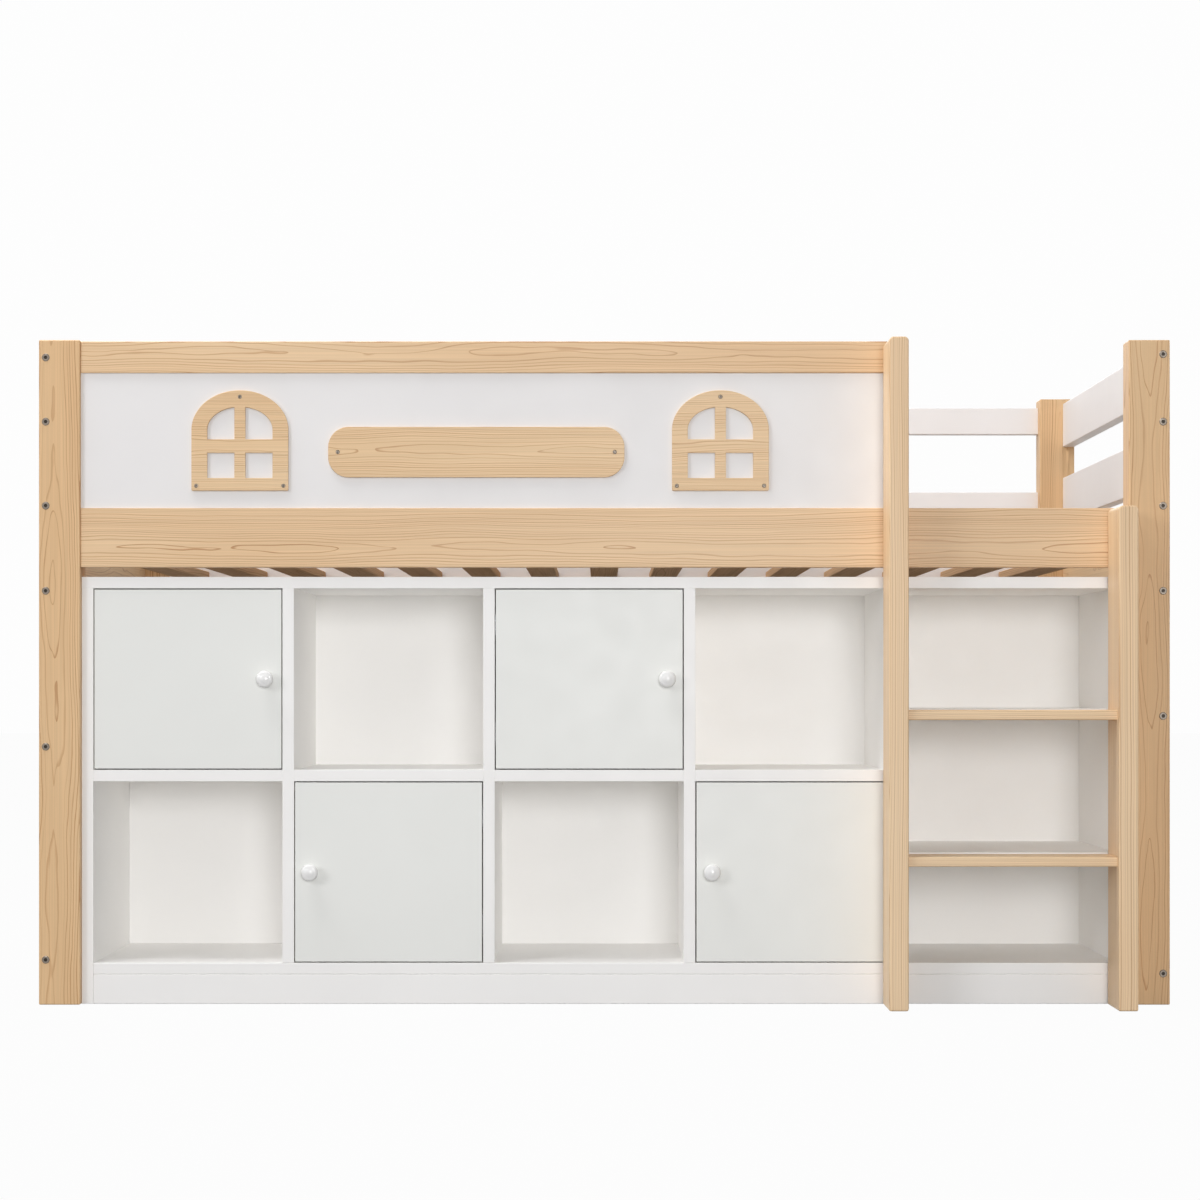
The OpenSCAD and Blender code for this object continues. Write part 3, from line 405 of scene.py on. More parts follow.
# Rails and panel: satin white lacquer, a little warm, soft highlights.
white_satin = lacquer("white_lacquer_satin", "EDEBEA", "E9E7E6", rough=0.5, peel=0.006)
rail_ease = 0.0025
for end in ("left", "right"):
    node = f"end_bed_rail_{end}"
    piece = eased(f"planed_{node}", node, rail_ease)
    sawn(piece.data, pith=(0.032, 0.042), back=-1 if end == "left" else 1)
    piece.data.materials.append(rail_pine)
    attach(piece, "frame")
    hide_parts(node)
    for node in (f"end_guard_rails_{end}", f"end_lower_rails_{end}"):
        piece = eased(f"lacquered_{node}", node, rail_ease)
        piece.data.materials.append(white_satin)
        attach(piece, "frame")
        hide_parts(node)

# ---- Long rails and panel ----
# Pine top rail and bed rail at the front with a white panel let into their grooves, and
# three white rails at the back. Bolts through the posts meet barrel nuts in the rails.

long_ease = 0.0018
for node in ("front_top_rail", "front_bed_rail"):
    piece = eased(f"planed_{node}", node, long_ease)
    sawn(piece.data, pith=(0.020, 0.026), lean=0.2)
    piece.data.materials.append(rail_pine)
    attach(piece, "frame")
    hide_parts(node)
for node in ("front_panel", "back_top_rail", "back_middle_rail", "back_bed_rail"):
    piece = eased(f"lacquered_{node}", node, long_ease)
    piece.data.materials.append(white_satin)
    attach(piece, "frame")
    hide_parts(node)

# ---- Ledges and slats ----
# Fifteen plain pine slats lie 128 mm apart on two pine ledges. Both are rough planed and
# not lacquered. The slats are one shape repeated along the bed, each with its own grain.

# Slats and ledges: the same pine without lacquer, so duller. Their colour is also painted
# a little darker and greyer than the other pine: painted shade for their place under the bed.
slat_pine = pine("pine_rough_planed_slats_painted_shade", "CFAD8C", "A78768", ring=0.0034, bend=0.016,
                 fibre=1.6, sheen=0.0)
ledge_ease, slat_ease = 0.0012, 0.0025
for node in ("ledge_front", "ledge_back"):
    piece = eased(f"planed_{node}", node, ledge_ease)
    sawn(piece.data, pith=(0.03, 0.05))
    piece.data.materials.append(slat_pine)
    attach(piece, "frame")
    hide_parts(node)


def named_inputs(tree, **kinds):
    """Gives a geometry tree its named inputs and its output, and returns the inputs."""
    for name, kind in kinds.items():
        tree.interface.new_socket(name, in_out="INPUT", socket_type="NodeSocket" + kind)
    tree.interface.new_socket("Geometry", in_out="OUTPUT", socket_type="NodeSocketGeometry")
    return put(tree, "NodeGroupInput").outputs


def grown(name, tree, start, **values):
    """Runs a geometry tree once on a start mesh and keeps the result as a plain mesh."""
    piece = bpy.data.objects.new(name, start)
    scene.collection.objects.link(piece)
    modifier = piece.modifiers.new("grow", "NODES")
    modifier.node_group = tree
    for item in tree.interface.items_tree:
        if item.in_out == "INPUT" and item.name in values:
            modifier[item.identifier] = values[item.name]
    graph = bpy.context.evaluated_depsgraph_get()
    done = bpy.data.meshes.new_from_object(piece.evaluated_get(graph),
                                           preserve_all_data_layers=True, depsgraph=graph)
    piece.modifiers.remove(modifier)
    piece.data = done
    done.name = name
    bpy.data.meshes.remove(start)
    return piece


slat_count, slat_pitch = 15, 0.128
side_shift, deep_shift = 0.02, 0.012      # how far a slat's grain may lie off the first's
row = bpy.data.node_groups.new("slat_row", "GeometryNodeTree")
given = named_inputs(row, Geometry="Geometry", Count="Int", Pitch="Float", Seed="Int",
                     Finish="Material")
line = put(row, "GeometryNodeMeshLine", {"mode": "OFFSET"}, Count=given["Count"],
           Offset=put(row, "ShaderNodeCombineXYZ", X=given["Pitch"]))
slats = put(row, "GeometryNodeInstanceOnPoints", Points=line, Instance=given["Geometry"])
shift = put(row, "FunctionNodeRandomValue", {"data_type": "FLOAT_VECTOR"},
            _0=(0.0, -side_shift, -deep_shift), _1=(stem_run, side_shift, deep_shift),
            Seed=given["Seed"], ID=put(row, "GeometryNodeInputIndex"))
slats = put(row, "GeometryNodeStoreNamedAttribute",
            {"data_type": "FLOAT_VECTOR", "domain": "INSTANCE"}, Geometry=slats,
            Name="shift", Value=shift)
slats = put(row, "GeometryNodeRealizeInstances", Geometry=slats)
moved = put(row, "ShaderNodeVectorMath", {"operation": "ADD"},
            _0=put(row, "GeometryNodeInputNamedAttribute",
                   {"data_type": "FLOAT_VECTOR"}, Name="grain"),
            _1=put(row, "GeometryNodeInputNamedAttribute",
                   {"data_type": "FLOAT_VECTOR"}, Name="shift"))
slats = put(row, "GeometryNodeStoreNamedAttribute",
            {"data_type": "FLOAT_VECTOR", "domain": "POINT"}, Geometry=slats,
            Name="grain", Value=moved)
slats = put(row, "GeometryNodeSetMaterial", Geometry=slats, Material=given["Finish"])
put(row, "NodeGroupOutput", Geometry=slats)

# The first slat of the CAD row, eased, is the shape that the tree repeats.
whole = eased("slat", "slats", slat_ease)
sawn(whole.data, pith=(0.03, 0.045), back=-1)
first = min(islands(whole.data), key=lambda part: whole.data.vertices[part[0]].co.x)
one = bmesh.new()
one.from_mesh(whole.data)
one.verts.ensure_lookup_table()
kept = set(first)
bmesh.ops.delete(one, geom=[v for v in one.verts if v.index not in kept], context="VERTS")
first_slat = bpy.data.meshes.new("first_slat")
one.to_mesh(first_slat)
one.free()
bpy.data.objects.remove(whole)
piece = grown("slat_row", row, first_slat, Count=slat_count, Pitch=slat_pitch, Seed=5,
              Finish=slat_pine)
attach(piece, "frame")
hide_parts("slats")

# ---- Ladder ----
# Two pine stiles, 100 x 35 mm, bolted to the front of the rails, and two pine treads
# housed and glued between them. The stiles' edges and top corners are well rounded.

# Ladder: quarter-sawn faces, so the front shows fine straight lines 2 to 4 mm apart.
ladder_pine = pine("pine_planed_ladder", "F0D4AE", "A86E32", ring=0.0034, bend=0.010,
                   knots=0.25)
ladder_ease, rung_ease = 0.003, 0.0025
for end in ("left", "right"):
    node = f"ladder_stile_{end}"
    piece = eased(f"planed_{node}", node, ladder_ease, shortest=0.001)
    sawn(piece.data, pith=(0.07, 0.10), back=1)
    piece.data.materials.append(ladder_pine)
    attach(piece, "frame")
    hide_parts(node)
piece = eased("planed_ladder_rungs", "ladder_rungs", rung_ease)
sawn(piece.data, pith=(0.05, 0.08), back=-1)
piece.data.materials.append(ladder_pine)
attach(piece, "frame")
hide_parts("ladder_rungs")

# ---- Cabinet ----
# White lacquered boards, 21 mm thick, dowelled and glued: top, bottom, two sides, four
# dividers, shelves, plinths and a thin back. Fine lines show where boards meet.

# Cabinet: the same lacquer in a plain white.
cabinet_white = lacquer("white_lacquer_cabinet", "F9F8F6", "F6F5F3", rough=0.5,
                        peel=0.005)
cabinet_nodes = ["cabinet_bottom", "cabinet_plinths", "cabinet_side_left",
                 "cabinet_side_right", "cabinet_divider_1", "cabinet_divider_2",
                 "cabinet_divider_3", "cabinet_divider_4", "cabinet_middle_shelves",
                 "ladder_bay_shelves", "cabinet_top", "cabinet_back"]
foot_ease, board_ease = 0.0016, 0.0006
for node in cabinet_nodes:
    ease = foot_ease if node in ("cabinet_bottom", "cabinet_plinths") else board_ease
    piece = eased(f"lacquered_{node}", node, ease, inner=0)
    piece.data.materials.append(cabinet_white)
    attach(piece, "frame")
    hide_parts(node)

# Dowels: turned beech, pinkish tan with short dark flecks 1 to 3 mm long, dry and matt.
beech, tree = blank("beech_turned_dowels")
at = put(tree, "ShaderNodeTexCoord").outputs["Object"]
fleck = put(tree, "ShaderNodeTexVoronoi", Vector=at, Scale=450.0)
dark = put(tree, "ShaderNodeMapRange", Value=fleck.outputs["Distance"], From_Min=0.25,
           From_Max=0.1)
surface = put(tree, "ShaderNodeBsdfPrincipled",
              Base_Color=put(tree, "ShaderNodeMix", {"data_type": "RGBA"}, Factor=dark,
                             A=srgb("D9B48C"), B=srgb("A87B52")),
              Roughness=put(tree, "ShaderNodeMapRange", Value=fleck.outputs["Distance"],
                            To_Min=0.55, To_Max=0.7),
              Normal=put(tree, "ShaderNodeBump", Height=dark, Strength=0.3,
                         Distance=0.0002))
put(tree, "ShaderNodeOutputMaterial", Surface=surface)
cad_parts["cabinet_dowels"].data.materials.clear()
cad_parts["cabinet_dowels"].data.materials.append(beech)

# ---- Doors, knobs and hinges ----
# Four white lacquered doors in the cabinet's front, each on two concealed hinges. A
# turned white knob is screwed to each from behind. The hinges are zinc-plated steel.

# Doors: the same lacquer a little cooler, smoother than the cabinet.
door_white = lacquer("white_lacquer_doors", "EDEEEA", "EAEBE7", rough=0.46, peel=0.005)
# Knobs: dipped enamel on a turned core, smoother and glossier.
knob_white = lacquer("white_enamel_knobs", "F0F0EF", "EDEDEB", rough=0.2, peel=0.004,
                     peel_height=0.00002)


def zinc(name, colour, rough, scratch):
    """Zinc-plated steel with a grain of pressing or turning marks, 0.05 mm wide and drawn
    scratch metres wide, and duller plating in spots 8 mm wide. Where the attribute recess
    is 1, in sockets and slots, shade is painted in as a dark colour, as a real recess is
    deeper than these and lies in deeper shade."""
    finish, tree = blank(name)
    at = put(tree, "ShaderNodeTexCoord").outputs["Object"]
    spots = put(tree, "ShaderNodeTexNoise", Vector=at, Scale=120.0, Detail=2.0)
    marks = put(tree, "ShaderNodeTexNoise", Vector=at, Scale=1 / scratch, Detail=2.0)
    pale, dull_share = srgb(colour), 0.82
    dull = tuple(c * dull_share for c in pale[:3]) + (1.0,)
    plated = put(tree, "ShaderNodeMix", {"data_type": "RGBA"}, A=dull, B=pale,
                 Factor=put(tree, "ShaderNodeMapRange", Value=spots, From_Min=0.35,
                            From_Max=0.65))
    # Painted shade: the faces marked recess take a dark brown-grey in place of the plating.
    recess = put(tree, "ShaderNodeAttribute", {"attribute_name": "recess"})
    surface = put(tree, "ShaderNodeBsdfPrincipled", Metallic=1.0,
                  Base_Color=put(tree, "ShaderNodeMix", {"data_type": "RGBA"}, A=plated,
                                 B=srgb("38332F"), Factor=recess.outputs["Fac"]),
                  Roughness=put(tree, "ShaderNodeMapRange", Value=spots, From_Min=0.3,
                                From_Max=0.7, To_Min=rough + 0.08, To_Max=rough - 0.06),
                  Normal=put(tree, "ShaderNodeBump", Height=marks, Strength=0.25,
                             Distance=0.00005))
    put(tree, "ShaderNodeOutputMaterial", Surface=surface)
    return finish


# Hinges: pressed steel, bright grey, with the fine marks of the press.
hinge_zinc = zinc("steel_zinc_plated_hinges", "B9BBBE", rough=0.32, scratch=0.0012)
door_ease, cup_ease, arm_ease = 0.0005, 0.0003, 0.0004
knob_r, knob_h, knob_neck, knob_rim, knob_dome = 0.0155, 0.026, 0.007, 0.006, 0.002
knob_foot, under_rim, under_out, under_gap = 0.0012, 0.0015, 0.0005, 0.0004
door_front = -0.4285
knobs = {1: (-0.6183, 0.59325), 2: (-0.5369, 0.24075), 3: (0.1149, 0.59325),
         4: (0.1963, 0.24075)}
knob_steps, rim_steps, dome_steps = 64, 16, 8

# The knob's half section, from the door out: a neck, a hollow, a full rim, a low dome.
rim_out = knob_r - knob_rim
section = [(knob_neck + knob_foot, 0.0), (knob_neck, knob_foot)]
neck_h = knob_h - 2 * knob_rim - knob_dome
section += [(knob_neck, neck_h - under_rim), (knob_neck + under_out, neck_h - under_gap)]
for k in range(rim_steps + 1):
    turn = -math.pi / 2 + math.pi * k / rim_steps
    section.append((rim_out + knob_rim * math.cos(turn),
                    neck_h + knob_rim + knob_rim * math.sin(turn)))
dome_r = (rim_out ** 2 + knob_dome ** 2) / (2 * knob_dome)
for k in range(1, dome_steps + 1):
    r = rim_out * (1 - k / dome_steps)
    section.append((r, knob_h - dome_r + math.sqrt(dome_r ** 2 - r ** 2)))

for number, (knob_x, knob_z) in knobs.items():
    body = f"door_{number}"
    piece = eased(f"lacquered_door_{number}", body, door_ease, inner=0)
    piece.data.materials.append(door_white)
    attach(piece, body)
    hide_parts(body)

    turned = bmesh.new()
    rings = []
    for r, out_by in section:
        if r == 0:
            rings.append([turned.verts.new((knob_x, door_front - out_by, knob_z))])
            continue
        rings.append([turned.verts.new((knob_x + r * math.cos(a), door_front - out_by,
                                        knob_z + r * math.sin(a)))
                      for a in (math.tau * k / knob_steps for k in range(knob_steps))])
    turned.faces.new(rings[0])
    for near, far in zip(rings, rings[1:]):
        for k in range(knob_steps):
            n = (k + 1) % knob_steps
            if len(far) == 1:
                turned.faces.new((near[k], near[n], far[0]))
            else:
                turned.faces.new((near[k], near[n], far[n], far[k]))
    # The flat foot, one many-sided face, keeps its hard edge.
    for face in turned.faces:
        face.smooth = len(face.verts) < 5
    bmesh.ops.recalc_face_normals(turned, faces=turned.faces)
    mesh = bpy.data.meshes.new(f"turned_knob_{number}")
    turned.to_mesh(mesh)
    turned.free()
    mesh.materials.append(knob_white)
    piece = bpy.data.objects.new(mesh.name, mesh)
    scene.collection.objects.link(piece)
    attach(piece, body)
    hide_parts(f"door_knob_{number}")

    piece = eased(f"pressed_hinge_cups_{number}", f"hinge_cups_{number}", cup_ease, inner=0)
    piece.data.materials.append(hinge_zinc)
    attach(piece, body)
    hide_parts(f"hinge_cups_{number}")
piece = eased("pressed_hinge_arms", "hinge_arms", arm_ease, inner=0)
piece.data.materials.append(hinge_zinc)
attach(piece, "frame")
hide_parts("hinge_arms")

# ---- Window trims and plate ----
# Two arched windows and a long round-ended plate, routed from 6 mm plywood and screwed
# to the panel. Their edges are lightly sanded and show the plies.

trim_front, trim_t, trim_ease, core_half = -0.4395, 0.006, 0.0008, 0.0011
# Plywood: pine face veneer over a darker core ply, sanded and lacquered matt. The face
# grain runs along the bed, and the cut edges show a dark middle ply.
trim_ply = pine("plywood_sanded_trim", "EACCA3", "AB7033", ring=0.0026, bend=0.026,
                knots=0.35)
tree = trim_ply.node_tree
surface = next(n for n in tree.nodes if n.type == "BSDF_PRINCIPLED")
face_veneer = surface.inputs["Base Color"].links[0].from_socket
shape = put(tree, "ShaderNodeTexCoord")
deep = put(tree, "ShaderNodeSeparateXYZ", Vector=shape.outputs["Object"])
facing = put(tree, "ShaderNodeSeparateXYZ", Vector=shape.outputs["Normal"])
on_edge = put(tree, "ShaderNodeMath", {"operation": "LESS_THAN"},
              _0=put(tree, "ShaderNodeMath", {"operation": "ABSOLUTE"},
                     _0=facing.outputs["Y"]), _1=0.5)
from_middle = put(tree, "ShaderNodeMath", {"operation": "ABSOLUTE"},
                  _0=put(tree, "ShaderNodeMath", {"operation": "SUBTRACT"},
                         _0=deep.outputs["Y"], _1=trim_front + trim_t / 2))
core = put(tree, "ShaderNodeMath", {"operation": "LESS_THAN"}, _0=from_middle, _1=core_half)
core_edge = put(tree, "ShaderNodeMath", {"operation": "MULTIPLY"}, _0=core, _1=on_edge)
ply = put(tree, "ShaderNodeMix", {"data_type": "RGBA"},
          Factor=put(tree, "ShaderNodeMath", {"operation": "MULTIPLY"},
                     _0=core_edge, _1=0.6), A=face_veneer, B=srgb("A97F52"))
tree.links.new(ply.outputs[2], surface.inputs["Base Color"])


def routed(name, outline, cutouts):
    """A sheet of trim cut to an outline in X and Z, with cutouts, its edges eased."""
    curve = bpy.data.curves.new(name, "CURVE")
    curve.dimensions, curve.fill_mode = "2D", "BOTH"
    curve.extrude, curve.bevel_depth = trim_t / 2 - trim_ease, trim_ease
    curve.bevel_resolution, curve.offset = 2, -trim_ease
    for points in [outline] + cutouts:
        spline = curve.splines.new("POLY")
        spline.points.add(len(points) - 1)
        for point, (x, z) in zip(spline.points, points):
            point.co = (x, z, 0, 1)
        spline.use_cyclic_u = True
    sheet = bpy.data.objects.new(name, curve)
    scene.collection.objects.link(sheet)
    graph = bpy.context.evaluated_depsgraph_get()
    mesh = bpy.data.meshes.new_from_object(sheet.evaluated_get(graph), depsgraph=graph)
    bpy.data.objects.remove(sheet)
    b = bmesh.new()
    b.from_mesh(mesh)
    bmesh.ops.remove_doubles(b, verts=b.verts, dist=weld)
    for v in b.verts:
        v.co = (v.co.x, trim_front + trim_t / 2 - v.co.z, v.co.y)
    bmesh.ops.recalc_face_normals(b, faces=b.faces)
    b.to_mesh(mesh)
    b.free()
    mesh.name = name
    piece = bpy.data.objects.new(name, mesh)
    scene.collection.objects.link(piece)
    return piece


def arc(x, z, across, up, start, stop, steps):
    """Points on part of an ellipse about x and z, from start to stop in quarter turns."""
    turns = [math.pi / 2 * (start + (stop - start) * k / steps) for k in range(steps + 1)]
    return [(x + across * math.cos(t), z + up * math.sin(t)) for t in turns]


window_w, window_h, arch_h, corner_r = 0.1765, 0.183, 0.072, 0.002
window_foot, window_middles = 0.93675, {"window_left": -0.6645, "window_right": 0.2115}
pane_out, pane_arch, bar, sill, cross = 0.05955, 0.0415, 0.020, 0.023, 0.0245
spring = window_h - arch_h
upper_pane = spring - 0.0175        # the upper panes start below the arch
screw_in, screw_down, screw_hole_r = 0.0087, 0.012, 0.0036
arch_steps, pane_steps, corner_steps, hole_steps = 72, 28, 4, 24
trim_screws = []
for node, x in window_middles.items():
    z = window_foot
    half = window_w / 2
    outline = arc(x, z + spring, half, arch_h, 0, 2, arch_steps)
    for corner_x, start in ((x - half + corner_r, 2), (x + half - corner_r, 3)):
        outline += arc(corner_x, z + corner_r, corner_r, corner_r, start, start + 1,
                       corner_steps)
    cutouts = []
    for side in (-1, 1):
        inner, outer = x + side * bar / 2, x + side * pane_out
        low, high = z + sill, z + upper_pane - cross
        a, b = min(inner, outer), max(inner, outer)
        cutouts.append([(a, low), (b, low), (b, high), (a, high)])
        slope = [(px, pz) for px, pz
                 in arc(x, z + spring, pane_out, pane_arch, 0, 1, pane_steps)
                 if px > x + bar / 2]
        slope.append((x + bar / 2, z + spring
                      + pane_arch * math.sqrt(1 - (bar / 2 / pane_out) ** 2)))
        pane = [(x + bar / 2, z + upper_pane), (x + pane_out, z + upper_pane)] + slope
        cutouts.append(pane if side > 0 else [(2 * x - px, pz) for px, pz in pane])
    spots = [(x - half + screw_in, z + screw_in), (x + half - screw_in, z + screw_in),
             (x, z + window_h - screw_down)]
    trim_screws += spots
    cutouts += [arc(sx, sz, screw_hole_r, screw_hole_r, 0, 4, hole_steps)[:-1]
                for sx, sz in spots]
    piece = routed(f"routed_{node}", outline, cutouts)
    sawn(piece.data, pith=(0.020, 0.026), lean=0.1, along=0)
    piece.data.materials.append(trim_ply)
    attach(piece, "frame")
    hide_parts(node)

plate_x, plate_z, plate_r = (-0.5035, 0.0365), (0.961, 1.053), 0.037
plate_screw_in, plate_middle, plate_steps = 0.0175, 1.007, 20
outline = []
left, right = plate_x[0] + plate_r, plate_x[1] - plate_r
low, high = plate_z[0] + plate_r, plate_z[1] - plate_r
for start, (cx, cz) in enumerate(((right, high), (left, high), (left, low), (right, low))):
    outline += arc(cx, cz, plate_r, plate_r, start, start + 1, plate_steps)
spots = [(plate_x[0] + plate_screw_in, plate_middle),
         (plate_x[1] - plate_screw_in, plate_middle)]
trim_screws += spots
cutouts = [arc(sx, sz, screw_hole_r, screw_hole_r, 0, 4, hole_steps)[:-1]
           for sx, sz in spots]
piece = routed("routed_plate", outline, cutouts)
sawn(piece.data, pith=(0.020, 0.026), lean=0.1)
piece.data.materials.append(trim_ply)
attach(piece, "frame")
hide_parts("name_plate")

# ---- Bolts ----
# Hex-socket bolts with flat heads, zinc-plated: six in each post into the end frame,
# long ones through the posts into barrel nuts in the rails, five from inside into the
# ladder's stiles.

# Bolts and screws: turned steel, a darker and warmer grey, with soft highlights.
bolt_zinc = zinc("steel_zinc_plated_bolts", "7F766C", rough=0.4, scratch=0.001)


def sharp_where(tree, shape):
    """Rounds the shading of a turned shape and keeps its edges over 30 degrees hard."""
    hard = put(tree, "FunctionNodeCompare", {"operation": "GREATER_THAN"},
               A=put(tree, "GeometryNodeInputMeshEdgeAngle").outputs["Unsigned Angle"],
               B=math.radians(30))
    shape = put(tree, "GeometryNodeSetShadeSmooth", Geometry=shape, Shade_Smooth=True)
    return put(tree, "GeometryNodeSetShadeSmooth", {"domain": "EDGE"}, Geometry=shape,
               Selection=hard, Shade_Smooth=False)


def at_points(tree, shape, given):
    """Stands a copy of the shape on every point of the start mesh, +Z along facing."""
    way = put(tree, "GeometryNodeInputNamedAttribute", {"data_type": "FLOAT_VECTOR"},
              Name="facing")
    turn = put(tree, "FunctionNodeAlignRotationToVector", {"axis": "Z"}, Vector=way)
    stood = put(tree, "GeometryNodeInstanceOnPoints", Points=given["Geometry"],
                Instance=shape, Rotation=turn)
    real = put(tree, "GeometryNodeRealizeInstances", Geometry=stood)
    put(tree, "NodeGroupOutput",
        Geometry=put(tree, "GeometryNodeSetMaterial", Geometry=real,
                     Material=given["Finish"]))


def frustums(tree, steps):
    """Solid round steps of a turned shape, each given by its number of sides, its radius
    at the foot and at the top, the height of its foot and its own height."""
    made = []
    for sides, foot, top, start, height in steps:
        step = put(tree, "GeometryNodeMeshCone", Vertices=sides, Radius_Bottom=foot,
                   Radius_Top=top, Depth=height)
        made.append(put(tree, "GeometryNodeTransform", Geometry=step,
                        Translation=put(tree, "ShaderNodeCombineXYZ", Z=start)))
    return made


def recessed(tree, shape, given):
    """Marks the faces of the socket or slot, which lie inside the recess's radius and
    between its mouth and its floor, with the attribute recess, where the zinc paints shade."""
    at = put(tree, "GeometryNodeInputPosition")
    height = put(tree, "ShaderNodeSeparateXYZ", Vector=at).outputs["Z"]
    reach = put(tree, "ShaderNodeVectorMath", {"operation": "LENGTH"},
                _0=put(tree, "ShaderNodeVectorMath", {"operation": "MULTIPLY"},
                       _0=at, _1=(1.0, 1.0, 0.0)))
    inside = put(tree, "FunctionNodeCompare", {"operation": "LESS_THAN"},
                 A=reach, B=given["Recess_Radius"])
    for test, end in (("GREATER_THAN", "Recess_Mouth"), ("LESS_THAN", "Recess_Floor")):
        inside = put(tree, "FunctionNodeBooleanMath", {"operation": "AND"}, _0=inside,
                     _1=put(tree, "FunctionNodeCompare", {"operation": test},
                            A=height, B=given[end]))
    return put(tree, "GeometryNodeStoreNamedAttribute",
               {"data_type": "FLOAT", "domain": "FACE"}, Geometry=shape, Name="recess",
               Value=inside)


joined = {"solver": "MANIFOLD", "operation": "UNION"}
cut = {"solver": "MANIFOLD", "operation": "DIFFERENCE"}
head_sides, shank_sides, key_sides = 40, 24, 6
bolts = bpy.data.node_groups.new("hex_socket_bolts", "GeometryNodeTree")
given = named_inputs(bolts, Geometry="Geometry", Head_Radius="Float", Face="Float",
                     Rim_Radius="Float", Edge="Float", Side="Float", Socket_Radius="Float",
                     Key_Start="Float", Key_Length="Float", Shank_Radius="Float",
                     Shank_Length="Float", Recess_Radius="Float", Recess_Mouth="Float",
                     Recess_Floor="Float", Finish="Material")
shoulder = put(bolts, "ShaderNodeMath", {"operation": "ADD"},
               _0=given["Face"], _1=given["Edge"])
head, shank, socket = (given[s] for s in ("Head_Radius", "Shank_Radius", "Socket_Radius"))
solid = put(bolts, "GeometryNodeMeshBoolean", joined, _1=frustums(bolts, (
    (head_sides, given["Rim_Radius"], head, given["Face"], given["Edge"]),
    (head_sides, head, head, shoulder, given["Side"]),
    (shank_sides, shank, shank, 0.0, given["Shank_Length"]))))
solid = put(bolts, "GeometryNodeMeshBoolean", cut, _0=solid, _1=frustums(bolts, (
    (key_sides, socket, socket, given["Key_Start"], given["Key_Length"]),)))
at_points(bolts, sharp_where(bolts, recessed(bolts, solid, given)), given)


def set_out(name, places):
    """A start mesh of bare points, each with the way its fastener faces."""
    mesh = bpy.data.meshes.new(name + "_points")
    mesh.from_pydata([p for p, _ in places], [], [])
    facing = mesh.attributes.new("facing", "FLOAT_VECTOR", "POINT")
    for i, (_, way) in enumerate(places):
        facing.data[i].vector = way
    return mesh


head_seat = 0.002      # the heads stand 1 mm proud of the posts
post_y, post_x, rail_y = (-0.4425, 0.5375), 1.0175, (-0.4275, 0.5225)
post_end, rail_inside = 1.030, -0.4195
left_heights = (0.082, 0.470, 0.754, 0.909, 1.062, 1.179)
right_heights = (0.057, 0.526, 0.754, 0.909, 1.062, 1.185)
post_places = [((side * post_x, face + way * head_seat, z), (0, way, 0))
               for side, heights in ((-1, left_heights), (1, right_heights))
               for face, way in ((post_y[0], 1), (post_y[1], -1)) for z in heights]
rail_heights = {(-1, 0): (0.817, 0.885, 1.189), (1, 0): (0.817, 0.885),
                (-1, 1): (0.817, 0.885, 1.15533, 0.980),
                (1, 1): (0.817, 0.885, 1.15533, 0.980)}
rail_places = [((side * (post_end - head_seat), rail_y[back], z), (-side, 0, 0))
               for (side, back), heights in rail_heights.items() for z in heights]
ladder_places = [((x, rail_inside, z), (0, -1, 0))
                 for x, heights in ((0.5255, (0.839, 0.863, 1.18025)),
                                    (0.935, (0.839, 0.863))) for z in heights]
for node, places, length in (("post_bolts", post_places, 0.035),
                             ("rail_bolts", rail_places, 0.117),
                             ("ladder_bolts", ladder_places, 0.064)):
    piece = grown(f"zinc_{node}", bolts, set_out(node, places), Head_Radius=0.007,
                  Rim_Radius=0.0061, Face=-0.003, Edge=0.0009, Side=0.0021,
                  Socket_Radius=0.0036, Key_Start=-0.004, Key_Length=0.003,
                  Shank_Radius=0.003, Shank_Length=length, Recess_Radius=0.0038,
                  Recess_Mouth=-0.0028, Recess_Floor=-0.0005, Finish=bolt_zinc)
    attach(piece, "frame")
    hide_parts(node)
nut_ease = 0.0003
piece = eased("zinc_barrel_nuts", "barrel_nuts", nut_ease, inner=0)
piece.data.materials.append(bolt_zinc)
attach(piece, "frame")
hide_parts("barrel_nuts")

# ---- Screws ----
# Countersunk cross-slot wood screws, zinc-plated: eight hold the trims to the panel,
# thirty hold the slats, fourteen the ledges, and one holds each knob from behind.

head_sides, shank_sides = 32, 16
screws = bpy.data.node_groups.new("cross_slot_screws", "GeometryNodeTree")
given = named_inputs(screws, Geometry="Geometry", Head_Radius="Float", Crown_Radius="Float",
                     Face="Float", Proud="Float", Sunk="Float", Shank_Radius="Float",
                     Shank_Length="Float", Tip_Radius="Float", Tip_Length="Float",
                     Slot_Length="Float", Slot_Width="Float", Slot_Depth="Float",
                     Recess_Radius="Float", Recess_Mouth="Float", Recess_Floor="Float",
                     Finish="Material")
head, shank, length = (given[s] for s in ("Head_Radius", "Shank_Radius", "Shank_Length"))
solid = put(screws, "GeometryNodeMeshBoolean", joined, _1=frustums(screws, (
    (head_sides, given["Crown_Radius"], head, given["Face"], given["Proud"]),
    (head_sides, head, shank, 0.0, given["Sunk"]),
    (shank_sides, shank, shank, 0.0, length),
    (shank_sides, shank, given["Tip_Radius"], length, given["Tip_Length"]))))
slots = []
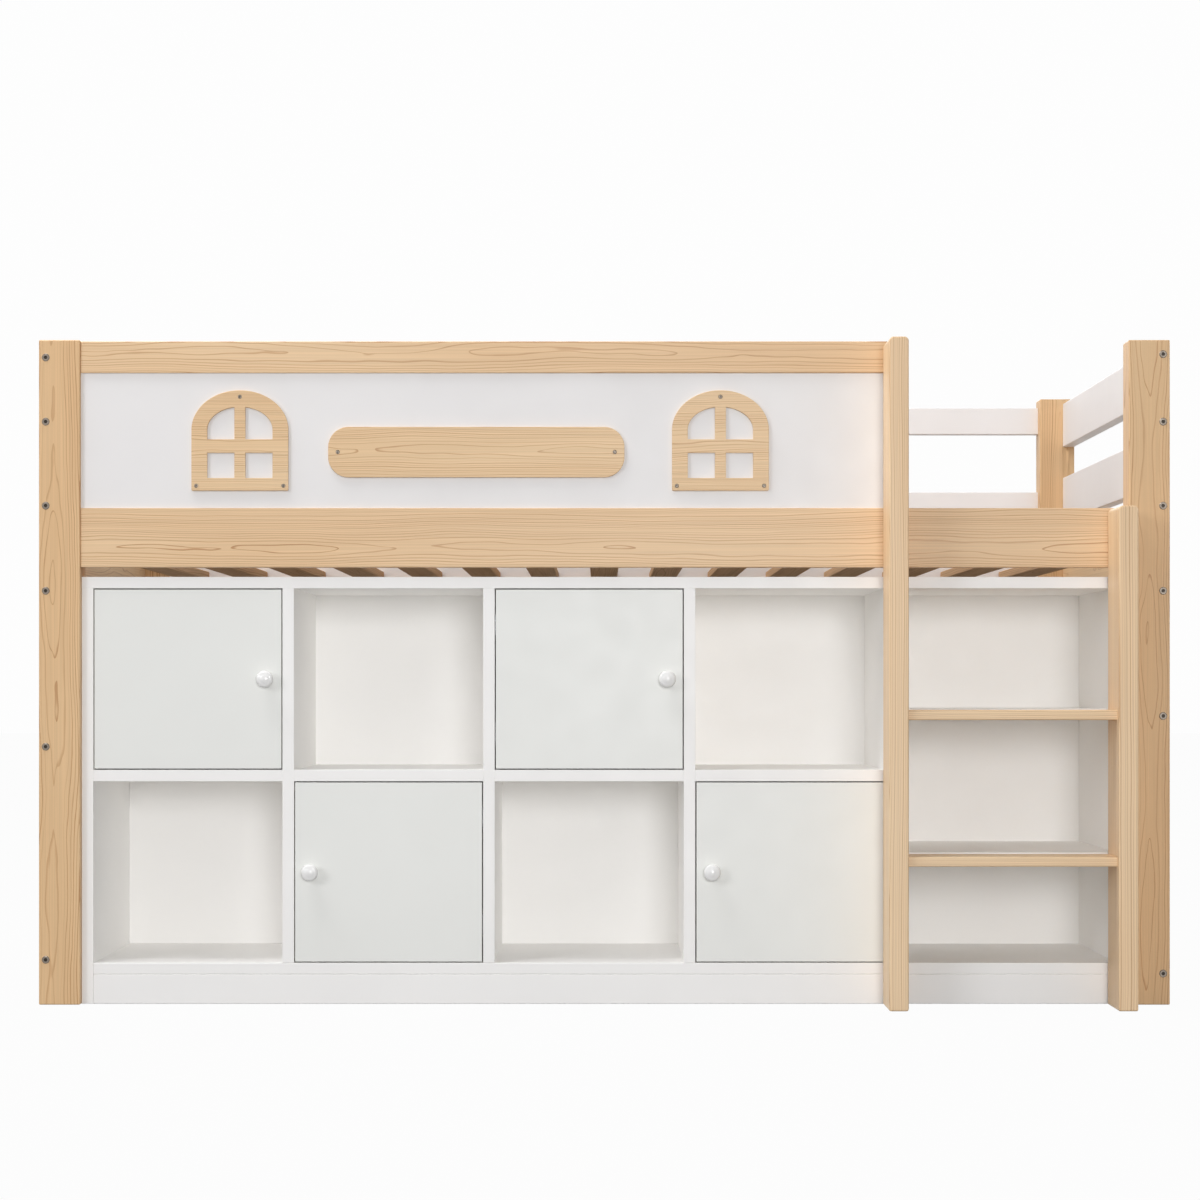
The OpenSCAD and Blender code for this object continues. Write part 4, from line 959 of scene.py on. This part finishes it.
for across in (("Slot_Length", "Slot_Width"), ("Slot_Width", "Slot_Length")):
    size = put(screws, "ShaderNodeCombineXYZ", X=given[across[0]], Y=given[across[1]],
               Z=given["Slot_Depth"])
    slots.append(put(screws, "GeometryNodeTransform",
                     Geometry=put(screws, "GeometryNodeMeshCube", Size=size),
                     Translation=put(screws, "ShaderNodeCombineXYZ", Z=given["Face"])))
solid = put(screws, "GeometryNodeMeshBoolean", cut, _0=solid, _1=slots)
at_points(screws, sharp_where(screws, recessed(screws, solid, given)), given)

slat_top, slat_ends, slat_middle = 0.834, (-0.4065, 0.5015), (slat_count - 1) / 2
ledge_middle, ledge_sides = 0.807, ((-0.3965, -1), (0.4915, 1))
slat_places = [(((i - slat_middle) * slat_pitch, y, slat_top), (0, 0, -1))
               for i in range(slat_count) for y in slat_ends]
slat_places += [(((i - slat_middle + 0.5) * slat_pitch, y, ledge_middle), (0, way, 0))
                for i in range(0, slat_count - 1, 2) for y, way in ledge_sides]
trim_places = [((x, trim_front, z), (0, 1, 0)) for x, z in trim_screws]
door_back = -0.4105
knob_places = {n: [((x, door_back, z), (0, -1, 0))] for n, (x, z) in knobs.items()}
crown_share, shank_share, tip_share = 0.72, 0.85, 0.15
for node, body, places, length, proud, head_r in (
        ("trim_screws", "frame", trim_places, 0.015, 0.0005, 0.0035),
        ("slat_screws", "frame", slat_places, 0.030, 0.00005, 0.0035),
        *((f"door_knob_{n}", f"door_{n}", knob_places[n], 0.028, 0.0022, 0.0045)
          for n in knobs)):
    piece = grown(f"zinc_{node}", screws, set_out(node, places), Head_Radius=head_r,
                  Crown_Radius=crown_share * head_r, Face=-proud, Proud=proud, Sunk=0.002,
                  Shank_Radius=0.00175, Shank_Length=shank_share * length,
                  Tip_Radius=0.0002, Tip_Length=tip_share * length, Slot_Length=0.0036,
                  Slot_Width=0.0010, Slot_Depth=0.0022, Recess_Radius=0.0019,
                  Recess_Mouth=0.0001 - proud, Recess_Floor=0.0012 - proud,
                  Finish=bolt_zinc)
    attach(piece, body)
    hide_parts(node)
